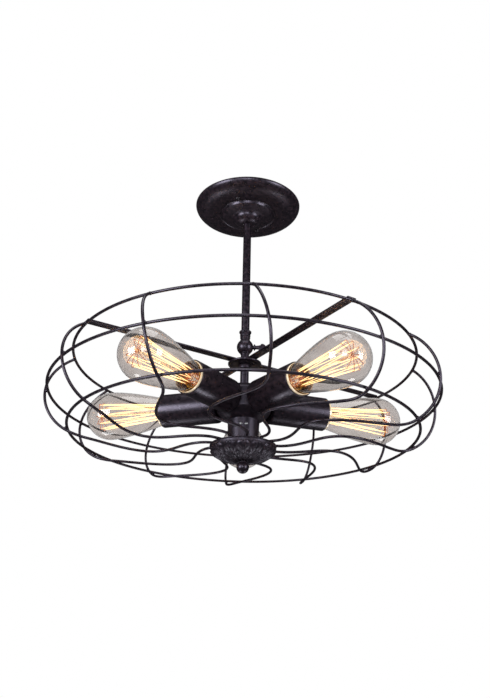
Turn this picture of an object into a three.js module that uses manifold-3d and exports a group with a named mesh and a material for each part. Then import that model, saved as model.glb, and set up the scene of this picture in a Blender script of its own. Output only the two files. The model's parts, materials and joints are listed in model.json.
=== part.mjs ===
// Semi-flush ceiling light in the style of an old fan guard: a saucer canopy and a stem carry, on a
// lamp swivel, a round wire cage with five carbon-filament lamps.
// Millimetres, +Z up. The origin is on the lamp's axis in the plane of the ceiling, so all of it hangs
// below z = 0. Azimuths are measured from -Y towards +X.
import * as THREE from "three";
import { mergeVertices } from "three/addons/utils/BufferGeometryUtils.js";
import Module from "manifold-3d";

const wasm = await Module();
wasm.setup();

// ---------------------------------------------------------------- driving dimensions
const FIT = 0.3; // clearance between two pieces that touch
const JOIN = 1; // overlap where two solids become one piece
const WIDE_FACETS = 24; // round the canopy, the cluster and the bowl
const SMALL_FACETS = 14; // round rods, cups, lamps and screws

const CANOPY_RADIUS = 74.5; // saucer that covers the ceiling box
const CANOPY_DEPTH = 13; // from the ceiling to the saucer's flat
const CANOPY_EDGE = 26; // width of the saucer's rounded edge
const CANOPY_WALL = 1.2; // spun steel sheet
const BELL_RADIUS = 36.5; // raised centre of the canopy
const BELL_STEP = 3; // straight wall round the bell
const BELL_SLOPE = 3; // fall from the bell's edge to its dome
const DOME_RADIUS = 20; // in the bell's middle
const DOME_DEPTH = 10.5; // from its foot to the bell's end
const DOME_SWEEP = 76; // degrees of round before the flat that meets the stem

const CROSSBAR_LENGTH = 106; // strip screwed to the ceiling box
const CROSSBAR_WIDTH = 22;
const CROSSBAR_THICKNESS = 2.5;
const CANOPY_SCREW_OFFSET = 43; // from the axis to each canopy screw
const CANOPY_SCREW_AZIMUTH = -19; // degrees
const CANOPY_SCREW_RADIUS = 2;
const SCREW_HEAD_RADIUS = 3.6;
const SCREW_HEAD_HEIGHT = 2.2;
const SCREW_CROWN_RADIUS = 2.9;
const SCREW_CROWN_HEIGHT = 0.7;
const BOX_SCREW_OFFSET = 30; // from the axis to each ceiling-box screw hole
const BOX_SCREW_RADIUS = 2.4;

const STEM_RADIUS = 5.5;
const STEM_WALL = 1;
const NIPPLE_WALL = 1.1;
const NIPPLE_LENGTH = 34;

const COLLAR_WALL = 1.2; // coupling at the stem's lower end
const COLLAR_FLANGE = 1.2; // how far its flange stands out
const COLLAR_FLANGE_HEIGHT = 2.6;
const COLLAR_HEIGHT = 8;
const COLLAR_GRIP = 5.3; // of the stem inside it

const BALL_RADIUS = 11; // swivel knuckle, two half balls side by side
const BALL_LIFT = 23.4; // of the knuckle's centre above the hub plate
const UPPER_NECK_STEP = 1.3; // how far the upper neck stands out from the stem
const UPPER_NECK_LENGTH = 4; // above the ball
const LOWER_NECK_WALL = 2; // round the rod's stud
const THUMB_SHAFT_RADIUS = 2.6;
const THUMB_THREAD = 7.4; // inside the upper half
const THUMB_HOLE = 7.7; // depth of the threaded hole there
const THUMB_SHAFT_REACH = 5.5; // from the ball to the spade
const THUMB_SPADE_LENGTH = 11.5;
const THUMB_SPADE_WIDTH = 10.5;
const THUMB_SPADE_WAIST = 4; // along the spade, where it spreads
const THUMB_SPADE_THICKNESS = 4;

const CAGE_DROP = 298; // from the ceiling to the middle ring
const WIRE_RADIUS = 1.8; // rings and spokes are one gauge of wire
const WIRE_SIDES = 5; // facets round the wire
const RING_STEPS = 48; // straight lengths round a ring
const LAMP_CLEARANCE = 28; // from the end of a lamp's glass to the middle ring
const TOP_RING_INSET = 27; // from the middle ring in to the top ring
const BOTTOM_RING_INSET = 29; // from the middle ring in to the bottom ring
const SPOKE_ARC_RADIUS = 58; // the half-round side of each spoke
const SPOKE_COUNT = 12;
const SPOKE_AZIMUTH = 1.8; // degrees, of the first spoke at the top ring
const SPOKE_LEAN = 4.5; // degrees that a spoke drifts between the top ring and the bottom ring
const SPOKE_SWIRL = 25.5; // degrees that it sweeps back under the cage
const SWIRL_SKEW = 1.36; // above 1 the widest part of the sweep sits closer to the centre
const SWIRL_SHAPE = 1.5; // above 1 the sweep starts and ends more gently
const SWIRL_END_RADIUS = 46;
const SPOKE_END_RADIUS = 34;

const STRIP_COUNT = 4;
const STRIP_AZIMUTH = 31.8; // degrees, in line with a spoke
const STRIP_WIDTH = 12;
const STRIP_THICKNESS = 2;
const STRIP_START_RADIUS = 9;
const HUB_PLATE_RADIUS = 22.2;
const HUB_PLATE_THICKNESS = 2.5;

const ROD_RADIUS = 5.6; // between the hub plate and the lamp cluster
const ROD_COLLAR_RADIUS = 8;
const ROD_COLLAR_HEIGHT = 5;
const STUD_RADIUS = 4.2; // threaded ends of the rod
const STUD_BORE = 2.6;
const STUD_GRIP = 7; // length of stud inside the swivel neck

const LAMP_COUNT = 5;
const FIRST_LAMP_AZIMUTH = 36; // degrees
const LAMP_DROP = 4; // of the lamps' axes below the middle ring
const CLUSTER_HALF_HEIGHT = 20;
const CLUSTER_BULGE = 2; // how far the body stands out past the flats that the cups seat on
const CLUSTER_CORNER = 8; // round of its upper and lower edges
const CLUSTER_NECK_RADIUS = 19.75;
const CLUSTER_NECK_FLARE = 4; // height over which the neck spreads into the body
const CLUSTER_WALL = 7; // of the hollow body behind its flats
const CLUSTER_PLATE = 3; // thickness of its top and of its neck's foot
const CLUSTER_NECK_WALL = 3;
const CUP_SPACING = 2.7; // how far the flats move out so that neighbouring cups part
const CUP_STUD_RADIUS = 5;
const CUP_STUD_LENGTH = 5.5;
const CUP_STUD_ROOT = 4; // inside the cluster

const CAP_RADIUS = 13.2; // E26 screw cap
const CAP_LENGTH = 26;
const CAP_REACH = 5; // of the cap's front in front of the porcelain face
const CAP_TIP_RADIUS = 5;
const CAP_SHOULDER = 6; // length of the insulated end
const CAP_CHAMFER = 1.5;
const SHELL_ROOM = 0.8; // for the holder's thin screw shell round the cap
const HOLDER_WALL = 3; // porcelain
const HOLDER_FLANGE = 4;
const HOLDER_BORE_DEPTH = 24;
const HOLDER_RECESS = 12; // from the cup's mouth back to the porcelain face
const CUP_ROOM = 3.6; // between the holder's body and the cup
const CUP_WALL = 1.4;
const CUP_BACK = 2;
const CUP_CORNER = 4;
const CUP_LENGTH = 79;

const BULB_RADIUS = 32; // pear-shaped lamp, 64 mm across
const BULB_LENGTH = 143; // with its cap
const BULB_DOME = 33; // from the widest part to the end
const BULB_NECK_ROOM = 2.2; // between the glass's neck and the cup
const BULB_NECK_FLARE = 8.4; // length over which the neck spreads from the cap
const BULB_SWELL = 0.7; // share of the neck's length over which it swells at an even slope
const GLASS_WALL = 1;
const FILAMENT_FACETS = 6;
const FILAMENT_POST_RADIUS = 2;
const FILAMENT_FLARE = 6; // height of the post's foot below the inner spider
const SPIDER_RADIUS = 11; // wire supports at the post's end
const INNER_SPIDER_RADIUS = 7.7;
const SPIDER_THICKNESS = 1.5;
const INNER_SPIDER_REACH = 20.8; // from the glass's neck
const SPIDER_CLEARANCE = 22; // from the post's end to the end of the glass

const COLLECTOR_RADIUS = 42.5; // plate that the spokes' inner ends lie on
const COLLECTOR_THICKNESS = 1.5;
const BOWL_DEPTH = 19;
const BOWL_WALL = 1.4;
const FINIAL_RADIUS = 8;
const FINIAL_FLAT = 1; // cut off the ball where it meets the bowl

// ---------------------------------------------------------------- worked-out places
const radians = THREE.MathUtils.degToRad;
const CAP_BORE = CAP_RADIUS + SHELL_ROOM;
const HOLDER_BODY_RADIUS = CAP_BORE + HOLDER_WALL;
const CUP_INSIDE = HOLDER_BODY_RADIUS + CUP_ROOM;
const CUP_RADIUS = CUP_INSIDE + CUP_WALL;
const CLUSTER_FLAT_OFFSET = CUP_RADIUS / Math.tan(Math.PI / LAMP_COUNT) + CUP_SPACING;
const CLUSTER_RADIUS = CLUSTER_FLAT_OFFSET + CLUSTER_BULGE;
const CUP_START = CLUSTER_FLAT_OFFSET + FIT;
const CUP_MOUTH = CLUSTER_FLAT_OFFSET + CUP_LENGTH;
const HOLDER_START = CLUSTER_FLAT_OFFSET + CUP_STUD_LENGTH + FIT;
const HOLDER_FACE = CUP_MOUTH - HOLDER_RECESS;
const CAP_FRONT = HOLDER_FACE + CAP_REACH;
const CAP_BACK = CAP_FRONT - CAP_LENGTH;
const GLASS_START = CAP_FRONT + FIT;
const BULB_NECK_RADIUS = CUP_INSIDE - BULB_NECK_ROOM;
const BULB_TIP = CAP_BACK + BULB_LENGTH;

const MIDDLE_RING_RADIUS = BULB_TIP + LAMP_CLEARANCE;
const TOP_RING_RADIUS = MIDDLE_RING_RADIUS - TOP_RING_INSET;
const BOTTOM_RING_RADIUS = MIDDLE_RING_RADIUS - BOTTOM_RING_INSET;
const WIRE_PITCH = 2 * WIRE_RADIUS + FIT; // between the centres of two wires that touch
const ARC_CENTRE_RADIUS = MIDDLE_RING_RADIUS + WIRE_PITCH - SPOKE_ARC_RADIUS;
// The top ring closes the spokes' ends, so it lies on their arc; the bottom ring lies inside it.
const TOP_RING_Z = Math.sqrt(SPOKE_ARC_RADIUS ** 2 - (TOP_RING_RADIUS - ARC_CENTRE_RADIUS) ** 2);
const INNER_ARC_RADIUS = SPOKE_ARC_RADIUS - WIRE_PITCH;
const BOTTOM_RING_Z = -Math.sqrt(INNER_ARC_RADIUS ** 2 - (BOTTOM_RING_RADIUS - ARC_CENTRE_RADIUS) ** 2);
const SPOKE_FLOOR_Z = -SPOKE_ARC_RADIUS;

const PLATE_TOP_Z = TOP_RING_Z + WIRE_RADIUS;
const PLATE_BOTTOM_Z = PLATE_TOP_Z - HUB_PLATE_THICKNESS;
const STRIP_Z = PLATE_TOP_Z + FIT;
const ROD_TOP_Z = PLATE_BOTTOM_Z - FIT;
const CLUSTER_TOP_Z = CLUSTER_HALF_HEIGHT - LAMP_DROP;
const COLLECTOR_TOP_Z = SPOKE_FLOOR_Z - WIRE_RADIUS - FIT;
const BOWL_TOP_Z = COLLECTOR_TOP_Z - COLLECTOR_THICKNESS - FIT;
const BOWL_BOTTOM_Z = BOWL_TOP_Z - BOWL_DEPTH;
const FINIAL_Z = BOWL_BOTTOM_Z - FIT - FINIAL_RADIUS + FINIAL_FLAT;

const BALL_RISE = PLATE_TOP_Z + BALL_LIFT; // from the middle ring up to the knuckle's centre
const BALL_Z = BALL_RISE - CAGE_DROP;
const UPPER_NECK_TOP_Z = BALL_Z + BALL_RADIUS + UPPER_NECK_LENGTH;
const UPPER_NECK_RADIUS = STEM_RADIUS + UPPER_NECK_STEP;
const LOWER_NECK_RADIUS = STUD_RADIUS + FIT + LOWER_NECK_WALL;
const COLLAR_BORE = STEM_RADIUS + FIT;
const COLLAR_RADIUS = COLLAR_BORE + COLLAR_WALL;
const COLLAR_BOTTOM_Z = UPPER_NECK_TOP_Z + FIT;
const COLLAR_TOP_Z = COLLAR_BOTTOM_Z + COLLAR_HEIGHT;
const STEM_BOTTOM_Z = COLLAR_TOP_Z - COLLAR_GRIP;
const STEM_TOP_Z = -CROSSBAR_THICKNESS - FIT;
const STEM_BORE = STEM_RADIUS - STEM_WALL;
const NIPPLE_RADIUS = STEM_BORE - FIT;
const DOME_FOOT_Z = -CANOPY_DEPTH - BELL_STEP - BELL_SLOPE;
const BELL_END_Z = DOME_FOOT_Z - DOME_DEPTH;

// ---------------------------------------------------------------- materials
const paint = { color: 0x221d20, roughness: 0.48, metalness: 0.35 };
const steel = { color: 0x8f9194, roughness: 0.4, metalness: 0.9 };
const brass = { color: 0xb08a45, roughness: 0.35, metalness: 0.9 };
const porcelain = { color: 0xeee3cf, roughness: 0.25, metalness: 0 };
const smokedGlass = { color: 0xa59e9b, roughness: 0.05, metalness: 0, transparent: true, opacity: 0.35 };
const filamentWire = { color: 0xffc070, roughness: 0.5, metalness: 0.2 };

// ---------------------------------------------------------------- making and cutting solids
function solidOf(geometry) {
  const bare = geometry.clone();
  bare.deleteAttribute("normal");
  bare.deleteAttribute("uv");
  const merged = mergeVertices(bare, 1e-4);
  const vertProperties = new Float32Array(merged.attributes.position.array);
  const triVerts = new Uint32Array(merged.index.array);
  return new wasm.Manifold(new wasm.Mesh({ numProp: 3, vertProperties, triVerts }));
}

function geometryOf(solid) {
  const mesh = solid.getMesh();
  const geometry = new THREE.BufferGeometry();
  geometry.setAttribute("position", new THREE.BufferAttribute(mesh.vertProperties, 3));
  geometry.setIndex(new THREE.BufferAttribute(mesh.triVerts, 1));
  return geometry;
}

function joined(...geometries) {
  const solids = geometries.map(solidOf);
  return geometryOf(solids.reduce((whole, next) => whole.add(next)));
}

function cut(geometry, ...tools) {
  return geometryOf(tools.reduce((left, tool) => left.subtract(solidOf(tool)), solidOf(geometry)));
}

function shared(a, b) {
  return geometryOf(solidOf(a).intersect(solidOf(b)));
}

// A solid of revolution about Z; each outline point is [radius, z].
function turned(outline, facets = SMALL_FACETS) {
  const points = outline.map(([r, z]) => new THREE.Vector2(r, z));
  const open = outline[0][0] > 0;
  if (open) points.push(points[0].clone());
  return new THREE.LatheGeometry(points, facets).rotateX(Math.PI / 2);
}

// A round bar along Z between two heights.
function bar(radius, lowZ, highZ) {
  const geometry = new THREE.CylinderGeometry(radius, radius, highZ - lowZ, SMALL_FACETS);
  return geometry.rotateX(Math.PI / 2).translate(0, 0, (lowZ + highZ) / 2);
}

function makeTube(outerRadius, innerRadius, lowZ, highZ, facets) {
  return turned([[innerRadius, lowZ], [outerRadius, lowZ], [outerRadius, highZ], [innerRadius, highZ]], facets);
}

// A curve in the plane of an outline as [radius, z] points.
function outlineOf(curve, steps) {
  return curve.getPoints(steps).map((p) => [p.x, p.y]);
}

// The rounded edge of a turned piece: the lower one runs out to the wall, the upper one in from it.
function roundedEdge(radius, z, bend, isUpper) {
  const start = isUpper ? 0 : -Math.PI / 2;
  const centreZ = isUpper ? z - bend : z + bend;
  const arc = new THREE.EllipseCurve(radius - bend, centreZ, bend, bend, start, start + Math.PI / 2, false);
  return outlineOf(arc, 2);
}

function block(width, depth, height) {
  return new THREE.BoxGeometry(width, depth, height);
}

// A round wire along a path.
function wire(path, steps) {
  const section = new THREE.Shape(wireSection());
  return new THREE.ExtrudeGeometry(section, { steps, extrudePath: path, bevelEnabled: false });
}

// The wire's section as the corners of a regular polygon.
function wireSection() {
  const corners = Array.from({ length: WIRE_SIDES }, (_, i) => (2 * Math.PI * i) / WIRE_SIDES);
  return corners.map((a) => new THREE.Vector2(WIRE_RADIUS * Math.cos(a), WIRE_RADIUS * Math.sin(a)));
}

// A point on the lamp at an azimuth in radians.
function around(radius, azimuth, z) {
  return new THREE.Vector3(radius * Math.sin(azimuth), -radius * Math.cos(azimuth), z);
}

const lamp = new THREE.Group();

function add(parent, name, geometry, finish) {
  const mesh = new THREE.Mesh(geometry, new THREE.MeshStandardMaterial(finish));
  mesh.name = name;
  parent.add(mesh);
}

// ---------------------------------------------------------------- ceiling fixing and canopy
// The canopy's section at a distance in from its outer face: a rounded saucer, a stepped bell and its dome.
function canopySide(inset) {
  const edge = new THREE.EllipseCurve(
    CANOPY_RADIUS - CANOPY_EDGE, 0, CANOPY_EDGE - inset, CANOPY_DEPTH - inset, 0, -Math.PI / 2, true
  );
  const step = [
    [BELL_RADIUS - inset, inset - CANOPY_DEPTH],
    [BELL_RADIUS - inset, inset - CANOPY_DEPTH - BELL_STEP],
  ];
  const dome = new THREE.EllipseCurve(
    STEM_RADIUS, inset + DOME_FOOT_Z, DOME_RADIUS - STEM_RADIUS - inset, DOME_DEPTH,
    0, -radians(DOME_SWEEP), true
  );
  return [...outlineOf(edge, 5), ...step, ...outlineOf(dome, 5)];
}

function makeCanopy() {
  const holeRadius = STEM_RADIUS + FIT;
  const outer = [...canopySide(0), [holeRadius, BELL_END_Z]];
  const inner = [...canopySide(CANOPY_WALL), [holeRadius, BELL_END_Z + CANOPY_WALL]].reverse();
  const shell = turned([...inner, ...outer].reverse(), WIDE_FACETS);
  const hole = bar(CANOPY_SCREW_RADIUS + FIT, -2 * CANOPY_DEPTH, 0);
  const [first, second] = canopyScrewPlaces();
  return cut(shell, hole.clone().translate(...first), hole.clone().translate(...second));
}

function canopyScrewPlaces() {
  const first = around(CANOPY_SCREW_OFFSET, radians(CANOPY_SCREW_AZIMUTH), 0);
  return [first.toArray(), first.clone().negate().toArray()];
}

function makeCrossbar() {
  const plate = block(CROSSBAR_WIDTH, CROSSBAR_LENGTH, CROSSBAR_THICKNESS);
  const through = [-CROSSBAR_THICKNESS, CROSSBAR_THICKNESS];
  const tools = [bar(NIPPLE_RADIUS + FIT, ...through)];
  for (const side of [-1, 1]) {
    tools.push(bar(CANOPY_SCREW_RADIUS + FIT, ...through).translate(0, side * CANOPY_SCREW_OFFSET, 0));
    tools.push(bar(BOX_SCREW_RADIUS, ...through).translate(0, side * BOX_SCREW_OFFSET, 0));
  }
  return cut(plate, ...tools).translate(0, 0, -CROSSBAR_THICKNESS / 2);
}

function makeCanopyScrew() {
  const seatZ = -CANOPY_DEPTH - FIT;
  const endZ = seatZ - SCREW_HEAD_HEIGHT;
  const shaft = bar(CANOPY_SCREW_RADIUS, seatZ - JOIN, -FIT);
  const head = turned(
    [[0, endZ], [SCREW_CROWN_RADIUS, endZ + SCREW_CROWN_HEIGHT], [SCREW_HEAD_RADIUS, seatZ], [0, seatZ]]
  );
  return joined(shaft, head);
}

add(lamp, "canopy", makeCanopy(), paint);
const fixing = new THREE.Group();
fixing.rotation.z = radians(CANOPY_SCREW_AZIMUTH);
lamp.add(fixing);
add(fixing, "ceiling_crossbar", makeCrossbar(), steel);
canopyScrewPlaces().forEach((place, index) => {
  add(lamp, `canopy_screw_${index + 1}`, makeCanopyScrew().translate(...place), steel);
});
add(lamp, "stem_nipple", makeTube(NIPPLE_RADIUS, NIPPLE_RADIUS - NIPPLE_WALL, -NIPPLE_LENGTH, -FIT), steel);

// ---------------------------------------------------------------- stem and swivel knuckle
function makeCollar() {
  const flangeRadius = COLLAR_RADIUS + COLLAR_FLANGE;
  const flangeZ = COLLAR_TOP_Z - COLLAR_FLANGE_HEIGHT;
  const chamfer = COLLAR_FLANGE_HEIGHT / 3;
  return turned(
    [[COLLAR_BORE, COLLAR_BOTTOM_Z], [COLLAR_RADIUS, COLLAR_BOTTOM_Z], [COLLAR_RADIUS, flangeZ],
      [flangeRadius, flangeZ + chamfer], [flangeRadius, COLLAR_TOP_Z - chamfer],
      [COLLAR_RADIUS, COLLAR_TOP_Z], [COLLAR_BORE, COLLAR_TOP_Z]]
  );
}

add(lamp, "stem_tube", makeTube(STEM_RADIUS, STEM_BORE, STEM_BOTTOM_Z, STEM_TOP_Z), paint);
add(lamp, "stem_collar", makeCollar(), paint);

function ball(radius) {
  return new THREE.SphereGeometry(radius, 16, 10);
}

// Half of the ball on one side of x = 0, with a neck that clears the other half.
function knuckleHalf(side, neck) {
  const room = block(2 * BALL_RADIUS, 3 * BALL_RADIUS, 8 * BALL_RADIUS)
    .translate(side * (BALL_RADIUS + FIT / 2), 0, 0);
  const half = shared(ball(BALL_RADIUS), room);
  const ownNeck = shared(neck, room);
  const overNeck = cut(neck, ball(BALL_RADIUS + FIT));
  return joined(half, ownNeck, overNeck);
}

function makeUpperHalf() {
  const neckTop = UPPER_NECK_TOP_Z - BALL_Z;
  const neck = joined(
    bar(UPPER_NECK_RADIUS, BALL_RADIUS / 2, neckTop),
    bar(STEM_RADIUS, neckTop - JOIN, STEM_BOTTOM_Z - BALL_Z - FIT)
  );
  const thread = bar(THUMB_SHAFT_RADIUS + FIT, -THUMB_HOLE, BALL_RADIUS).rotateY(Math.PI / 2);
  return cut(knuckleHalf(-1, neck), thread).translate(0, 0, BALL_Z);
}

function makeLowerHalf() {
  const neckBottom = PLATE_TOP_Z + FIT - BALL_RISE;
  const neck = bar(LOWER_NECK_RADIUS, neckBottom, -BALL_RADIUS / 2);
  const stud = bar(STUD_RADIUS + FIT, neckBottom - JOIN, neckBottom + STUD_GRIP + FIT);
  const screwHole = bar(THUMB_SHAFT_RADIUS + FIT, -BALL_RADIUS, 2 * BALL_RADIUS).rotateY(Math.PI / 2);
  return cut(knuckleHalf(1, neck), stud, screwHole).translate(0, 0, BALL_RISE);
}

function makeThumbScrew() {
  const spadeStart = BALL_RADIUS + THUMB_SHAFT_REACH;
  const shaft = bar(THUMB_SHAFT_RADIUS, -THUMB_THREAD, spadeStart + JOIN);
  const half = THUMB_SPADE_WIDTH / 2;
  const outline = new THREE.Shape();
  outline.moveTo(-THUMB_SHAFT_RADIUS, 0);
  outline.quadraticCurveTo(-half, THUMB_SPADE_WAIST, -half, THUMB_SPADE_LENGTH - half);
  outline.absarc(0, THUMB_SPADE_LENGTH - half, half, Math.PI, 0, true);
  outline.quadraticCurveTo(half, THUMB_SPADE_WAIST, THUMB_SHAFT_RADIUS, 0);
  outline.closePath();
  const spade = new THREE.ExtrudeGeometry(outline, {
    depth: THUMB_SPADE_THICKNESS, bevelEnabled: false, curveSegments: 6,
  });
  spade.translate(0, 0, -THUMB_SPADE_THICKNESS / 2).rotateX(Math.PI / 2).translate(0, 0, spadeStart);
  return joined(shaft, spade).rotateY(Math.PI / 2).translate(0, 0, BALL_Z);
}

add(lamp, "knuckle_upper_half", makeUpperHalf(), paint);
add(lamp, "knuckle_thumb_screw", makeThumbScrew(), paint);

// ---------------------------------------------------------------- cage, from the middle ring's centre
const cage = new THREE.Group();
cage.position.z = -CAGE_DROP;
lamp.add(cage);
add(cage, "knuckle_lower_half", makeLowerHalf(), paint);

// A ring of wire as a closed solid of revolution.
function makeRing(radius, z) {
  const section = wireSection().map((corner) => [radius + corner.x, z + corner.y]);
  return turned(section, RING_STEPS);
}

// How far a spoke has drifted forward from its azimuth at the top ring, in radians.
function leanAt(z) {
  const down = THREE.MathUtils.clamp((TOP_RING_Z - z) / (TOP_RING_Z - BOTTOM_RING_Z), 0, 1);
  return radians(SPOKE_LEAN) * (1 - (1 - down) ** 2);
}

// How far it has swept back at a radius under the cage, in radians.
function swirlAt(radius) {
  const run = (BOTTOM_RING_RADIUS - radius) / (BOTTOM_RING_RADIUS - SWIRL_END_RADIUS);
  const inward = THREE.MathUtils.clamp(run, 0, 1);
  return -radians(SPOKE_SWIRL) * Math.abs(Math.sin(Math.PI * inward ** SWIRL_SKEW)) ** SWIRL_SHAPE;
}

// The middle line of a spoke: round the side of the cage, then in along its floor. Each stage is
// [steps, end], with an arc angle as the end of a stage on the side and a radius on the floor, so that
// a step falls where the spoke crosses each ring.
const SPOKE_START_ANGLE = Math.asin(TOP_RING_Z / SPOKE_ARC_RADIUS) - WIRE_PITCH / SPOKE_ARC_RADIUS;
const SIDE_STAGES = [[4, 0], [4, Math.asin(BOTTOM_RING_Z / INNER_ARC_RADIUS)], [2, -Math.PI / 2]];
const FLOOR_STEPS = 14;
const SIDE_STEPS = SIDE_STAGES.reduce((sum, [steps]) => sum + steps, 0);
const SPOKE_STEPS = SIDE_STEPS + FLOOR_STEPS;

// The arc angle after a number of steps down the side.
function sideAngle(step) {
  let angle = SPOKE_START_ANGLE;
  let left = step;
  for (const [steps, end] of SIDE_STAGES) {
    if (left <= steps) return THREE.MathUtils.lerp(angle, end, left / steps);
    angle = end;
    left -= steps;
  }
  return angle;
}

class Spoke extends THREE.Curve {
  constructor(azimuth) {
    super();
    this.azimuth = azimuth;
  }

  getPoint(t, target = new THREE.Vector3()) {
    const step = t * SPOKE_STEPS;
    const angle = sideAngle(Math.min(step, SIDE_STEPS));
    const inward = Math.max(0, (step - SIDE_STEPS) / FLOOR_STEPS);
    const foot = ARC_CENTRE_RADIUS + SPOKE_ARC_RADIUS * Math.cos(angle);
    const radius = THREE.MathUtils.lerp(foot, SPOKE_END_RADIUS, inward);
    const z = SPOKE_ARC_RADIUS * Math.sin(angle);
    const swirl = z < 0 ? swirlAt(radius) : 0;
    return target.copy(around(radius, this.azimuth + leanAt(z) + swirl, z));
  }

  getPointAt(t, target) {
    return this.getPoint(t, target);
  }

  getTangentAt(t, target) {
    return this.getTangent(t, target);
  }
}

add(cage, "ring_top", makeRing(TOP_RING_RADIUS, TOP_RING_Z), paint);
add(cage, "ring_middle", makeRing(MIDDLE_RING_RADIUS, 0), paint);
add(cage, "ring_bottom", makeRing(BOTTOM_RING_RADIUS, BOTTOM_RING_Z), paint);
for (let i = 0; i < SPOKE_COUNT; i += 1) {
  const azimuth = radians(SPOKE_AZIMUTH) + (2 * Math.PI * i) / SPOKE_COUNT;
  const number = String(i + 1).padStart(2, "0");
  add(cage, `spoke_${number}`, wire(new Spoke(azimuth), SPOKE_STEPS), paint);
}

function makeHubPlate() {
  return makeTube(HUB_PLATE_RADIUS, STUD_RADIUS + FIT, PLATE_BOTTOM_Z, PLATE_TOP_Z, WIDE_FACETS);
}

function makeStrip() {
  const length = TOP_RING_RADIUS - STRIP_START_RADIUS;
  const strip = block(STRIP_WIDTH, length, STRIP_THICKNESS);
  return strip.translate(0, -STRIP_START_RADIUS - length / 2, STRIP_Z + STRIP_THICKNESS / 2);
}

add(cage, "hub_plate", makeHubPlate(), paint);
for (let i = 0; i < STRIP_COUNT; i += 1) {
  const strip = makeStrip().rotateZ(radians(STRIP_AZIMUTH) + (2 * Math.PI * i) / STRIP_COUNT);
  add(cage, `strip_${i + 1}`, strip, paint);
}

// ---------------------------------------------------------------- rod, lamp cluster, bowl and finial
function makeRod() {
  const studTop = PLATE_TOP_Z + FIT + STUD_GRIP;
  const studBottom = FINIAL_Z;
  const collarZ = ROD_TOP_Z - ROD_COLLAR_HEIGHT;
  const footZ = CLUSTER_TOP_Z + FIT;
  return turned(
    [[STUD_BORE, studBottom], [STUD_RADIUS, studBottom], [STUD_RADIUS, footZ], [ROD_RADIUS, footZ],
      [ROD_RADIUS, collarZ], [ROD_COLLAR_RADIUS, collarZ], [ROD_COLLAR_RADIUS, ROD_TOP_Z],
      [STUD_RADIUS, ROD_TOP_Z], [STUD_RADIUS, studTop], [STUD_BORE, studTop]]
  );
}

function makeCluster() {
  const bore = STUD_RADIUS + FIT;
  const neckBottom = COLLECTOR_TOP_Z + FIT + LAMP_DROP;
  const high = CLUSTER_HALF_HEIGHT;
  const outside = [
    [bore, neckBottom], [CLUSTER_NECK_RADIUS, neckBottom], [CLUSTER_NECK_RADIUS, -high - CLUSTER_NECK_FLARE],
    ...roundedEdge(CLUSTER_RADIUS, -high, CLUSTER_CORNER, false),
    ...roundedEdge(CLUSTER_RADIUS, high, CLUSTER_CORNER, true), [bore, high],
  ];
  const hollowRadius = CLUSTER_FLAT_OFFSET - CLUSTER_WALL;
  const neckHollow = CLUSTER_NECK_RADIUS - CLUSTER_NECK_WALL;
  const hollow = [
    [bore, high - CLUSTER_PLATE], [hollowRadius, high - CLUSTER_PLATE], [hollowRadius, CLUSTER_PLATE - high],
    [neckHollow, CLUSTER_PLATE - high], [neckHollow, neckBottom + CLUSTER_PLATE],
    [bore, neckBottom + CLUSTER_PLATE],
  ];
  const body = turned([...outside, ...hollow], WIDE_FACETS);
  const flats = [];
  const studs = [];
  for (let i = 0; i < LAMP_COUNT; i += 1) {
    const azimuth = lampAzimuth(i);
    const flat = block(3 * CLUSTER_RADIUS, CLUSTER_RADIUS, 3 * CLUSTER_RADIUS)
      .translate(0, -CLUSTER_FLAT_OFFSET - CLUSTER_RADIUS / 2, 0);
    flats.push(flat.rotateZ(azimuth));
    const root = CLUSTER_FLAT_OFFSET - CUP_STUD_ROOT;
    const stud = bar(CUP_STUD_RADIUS, root, CLUSTER_FLAT_OFFSET + CUP_STUD_LENGTH);
    studs.push(stud.rotateX(Math.PI / 2).rotateZ(azimuth));
  }
  return joined(cut(body, ...flats), ...studs).translate(0, 0, -LAMP_DROP);
}

function lampAzimuth(index) {
  return radians(FIRST_LAMP_AZIMUTH) + (2 * Math.PI * index) / LAMP_COUNT;
}

function makeBowl() {
  const hole = STUD_RADIUS + FIT;
  const wall = (inset) => {
    const arc = new THREE.EllipseCurve(
      hole, BOWL_TOP_Z, COLLECTOR_RADIUS - hole - inset, BOWL_DEPTH - inset, 0, -Math.PI / 2, true
    );
    return outlineOf(arc, 6);
  };
  return turned([...wall(BOWL_WALL), ...wall(0).reverse()], WIDE_FACETS);
}

function makeFinial() {
  const blindHole = bar(STUD_RADIUS + FIT, -FIT, 2 * FINIAL_RADIUS);
  const flat = block(4 * FINIAL_RADIUS, 4 * FINIAL_RADIUS, FINIAL_RADIUS)
    .translate(0, 0, 1.5 * FINIAL_RADIUS - FINIAL_FLAT);
  return cut(ball(FINIAL_RADIUS), blindHole, flat).translate(0, 0, FINIAL_Z);
}

add(cage, "lower_rod", makeRod(), paint);
add(cage, "lamp_cluster", makeCluster(), paint);
const collectorBottom = COLLECTOR_TOP_Z - COLLECTOR_THICKNESS;
const collector = makeTube(COLLECTOR_RADIUS, STUD_RADIUS + FIT, collectorBottom, COLLECTOR_TOP_Z, WIDE_FACETS);
add(cage, "spoke_collector", collector, paint);
add(cage, "rosette_bowl", makeBowl(), paint);
add(cage, "ball_finial", makeFinial(), paint);

// ---------------------------------------------------------------- sockets and lamps, along +Z of an arm
function makeCup() {
  const hole = CUP_STUD_RADIUS + FIT;
  const floor = CUP_START + CUP_BACK;
  const outer = roundedEdge(CUP_RADIUS, CUP_START, CUP_CORNER, false);
  const inner = roundedEdge(CUP_INSIDE, floor, CUP_CORNER - CUP_WALL, false).reverse();
  return turned(
    [[hole, CUP_START], ...outer, [CUP_RADIUS, CUP_MOUTH], [CUP_INSIDE, CUP_MOUTH], ...inner, [hole, floor]]
  );
}

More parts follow.
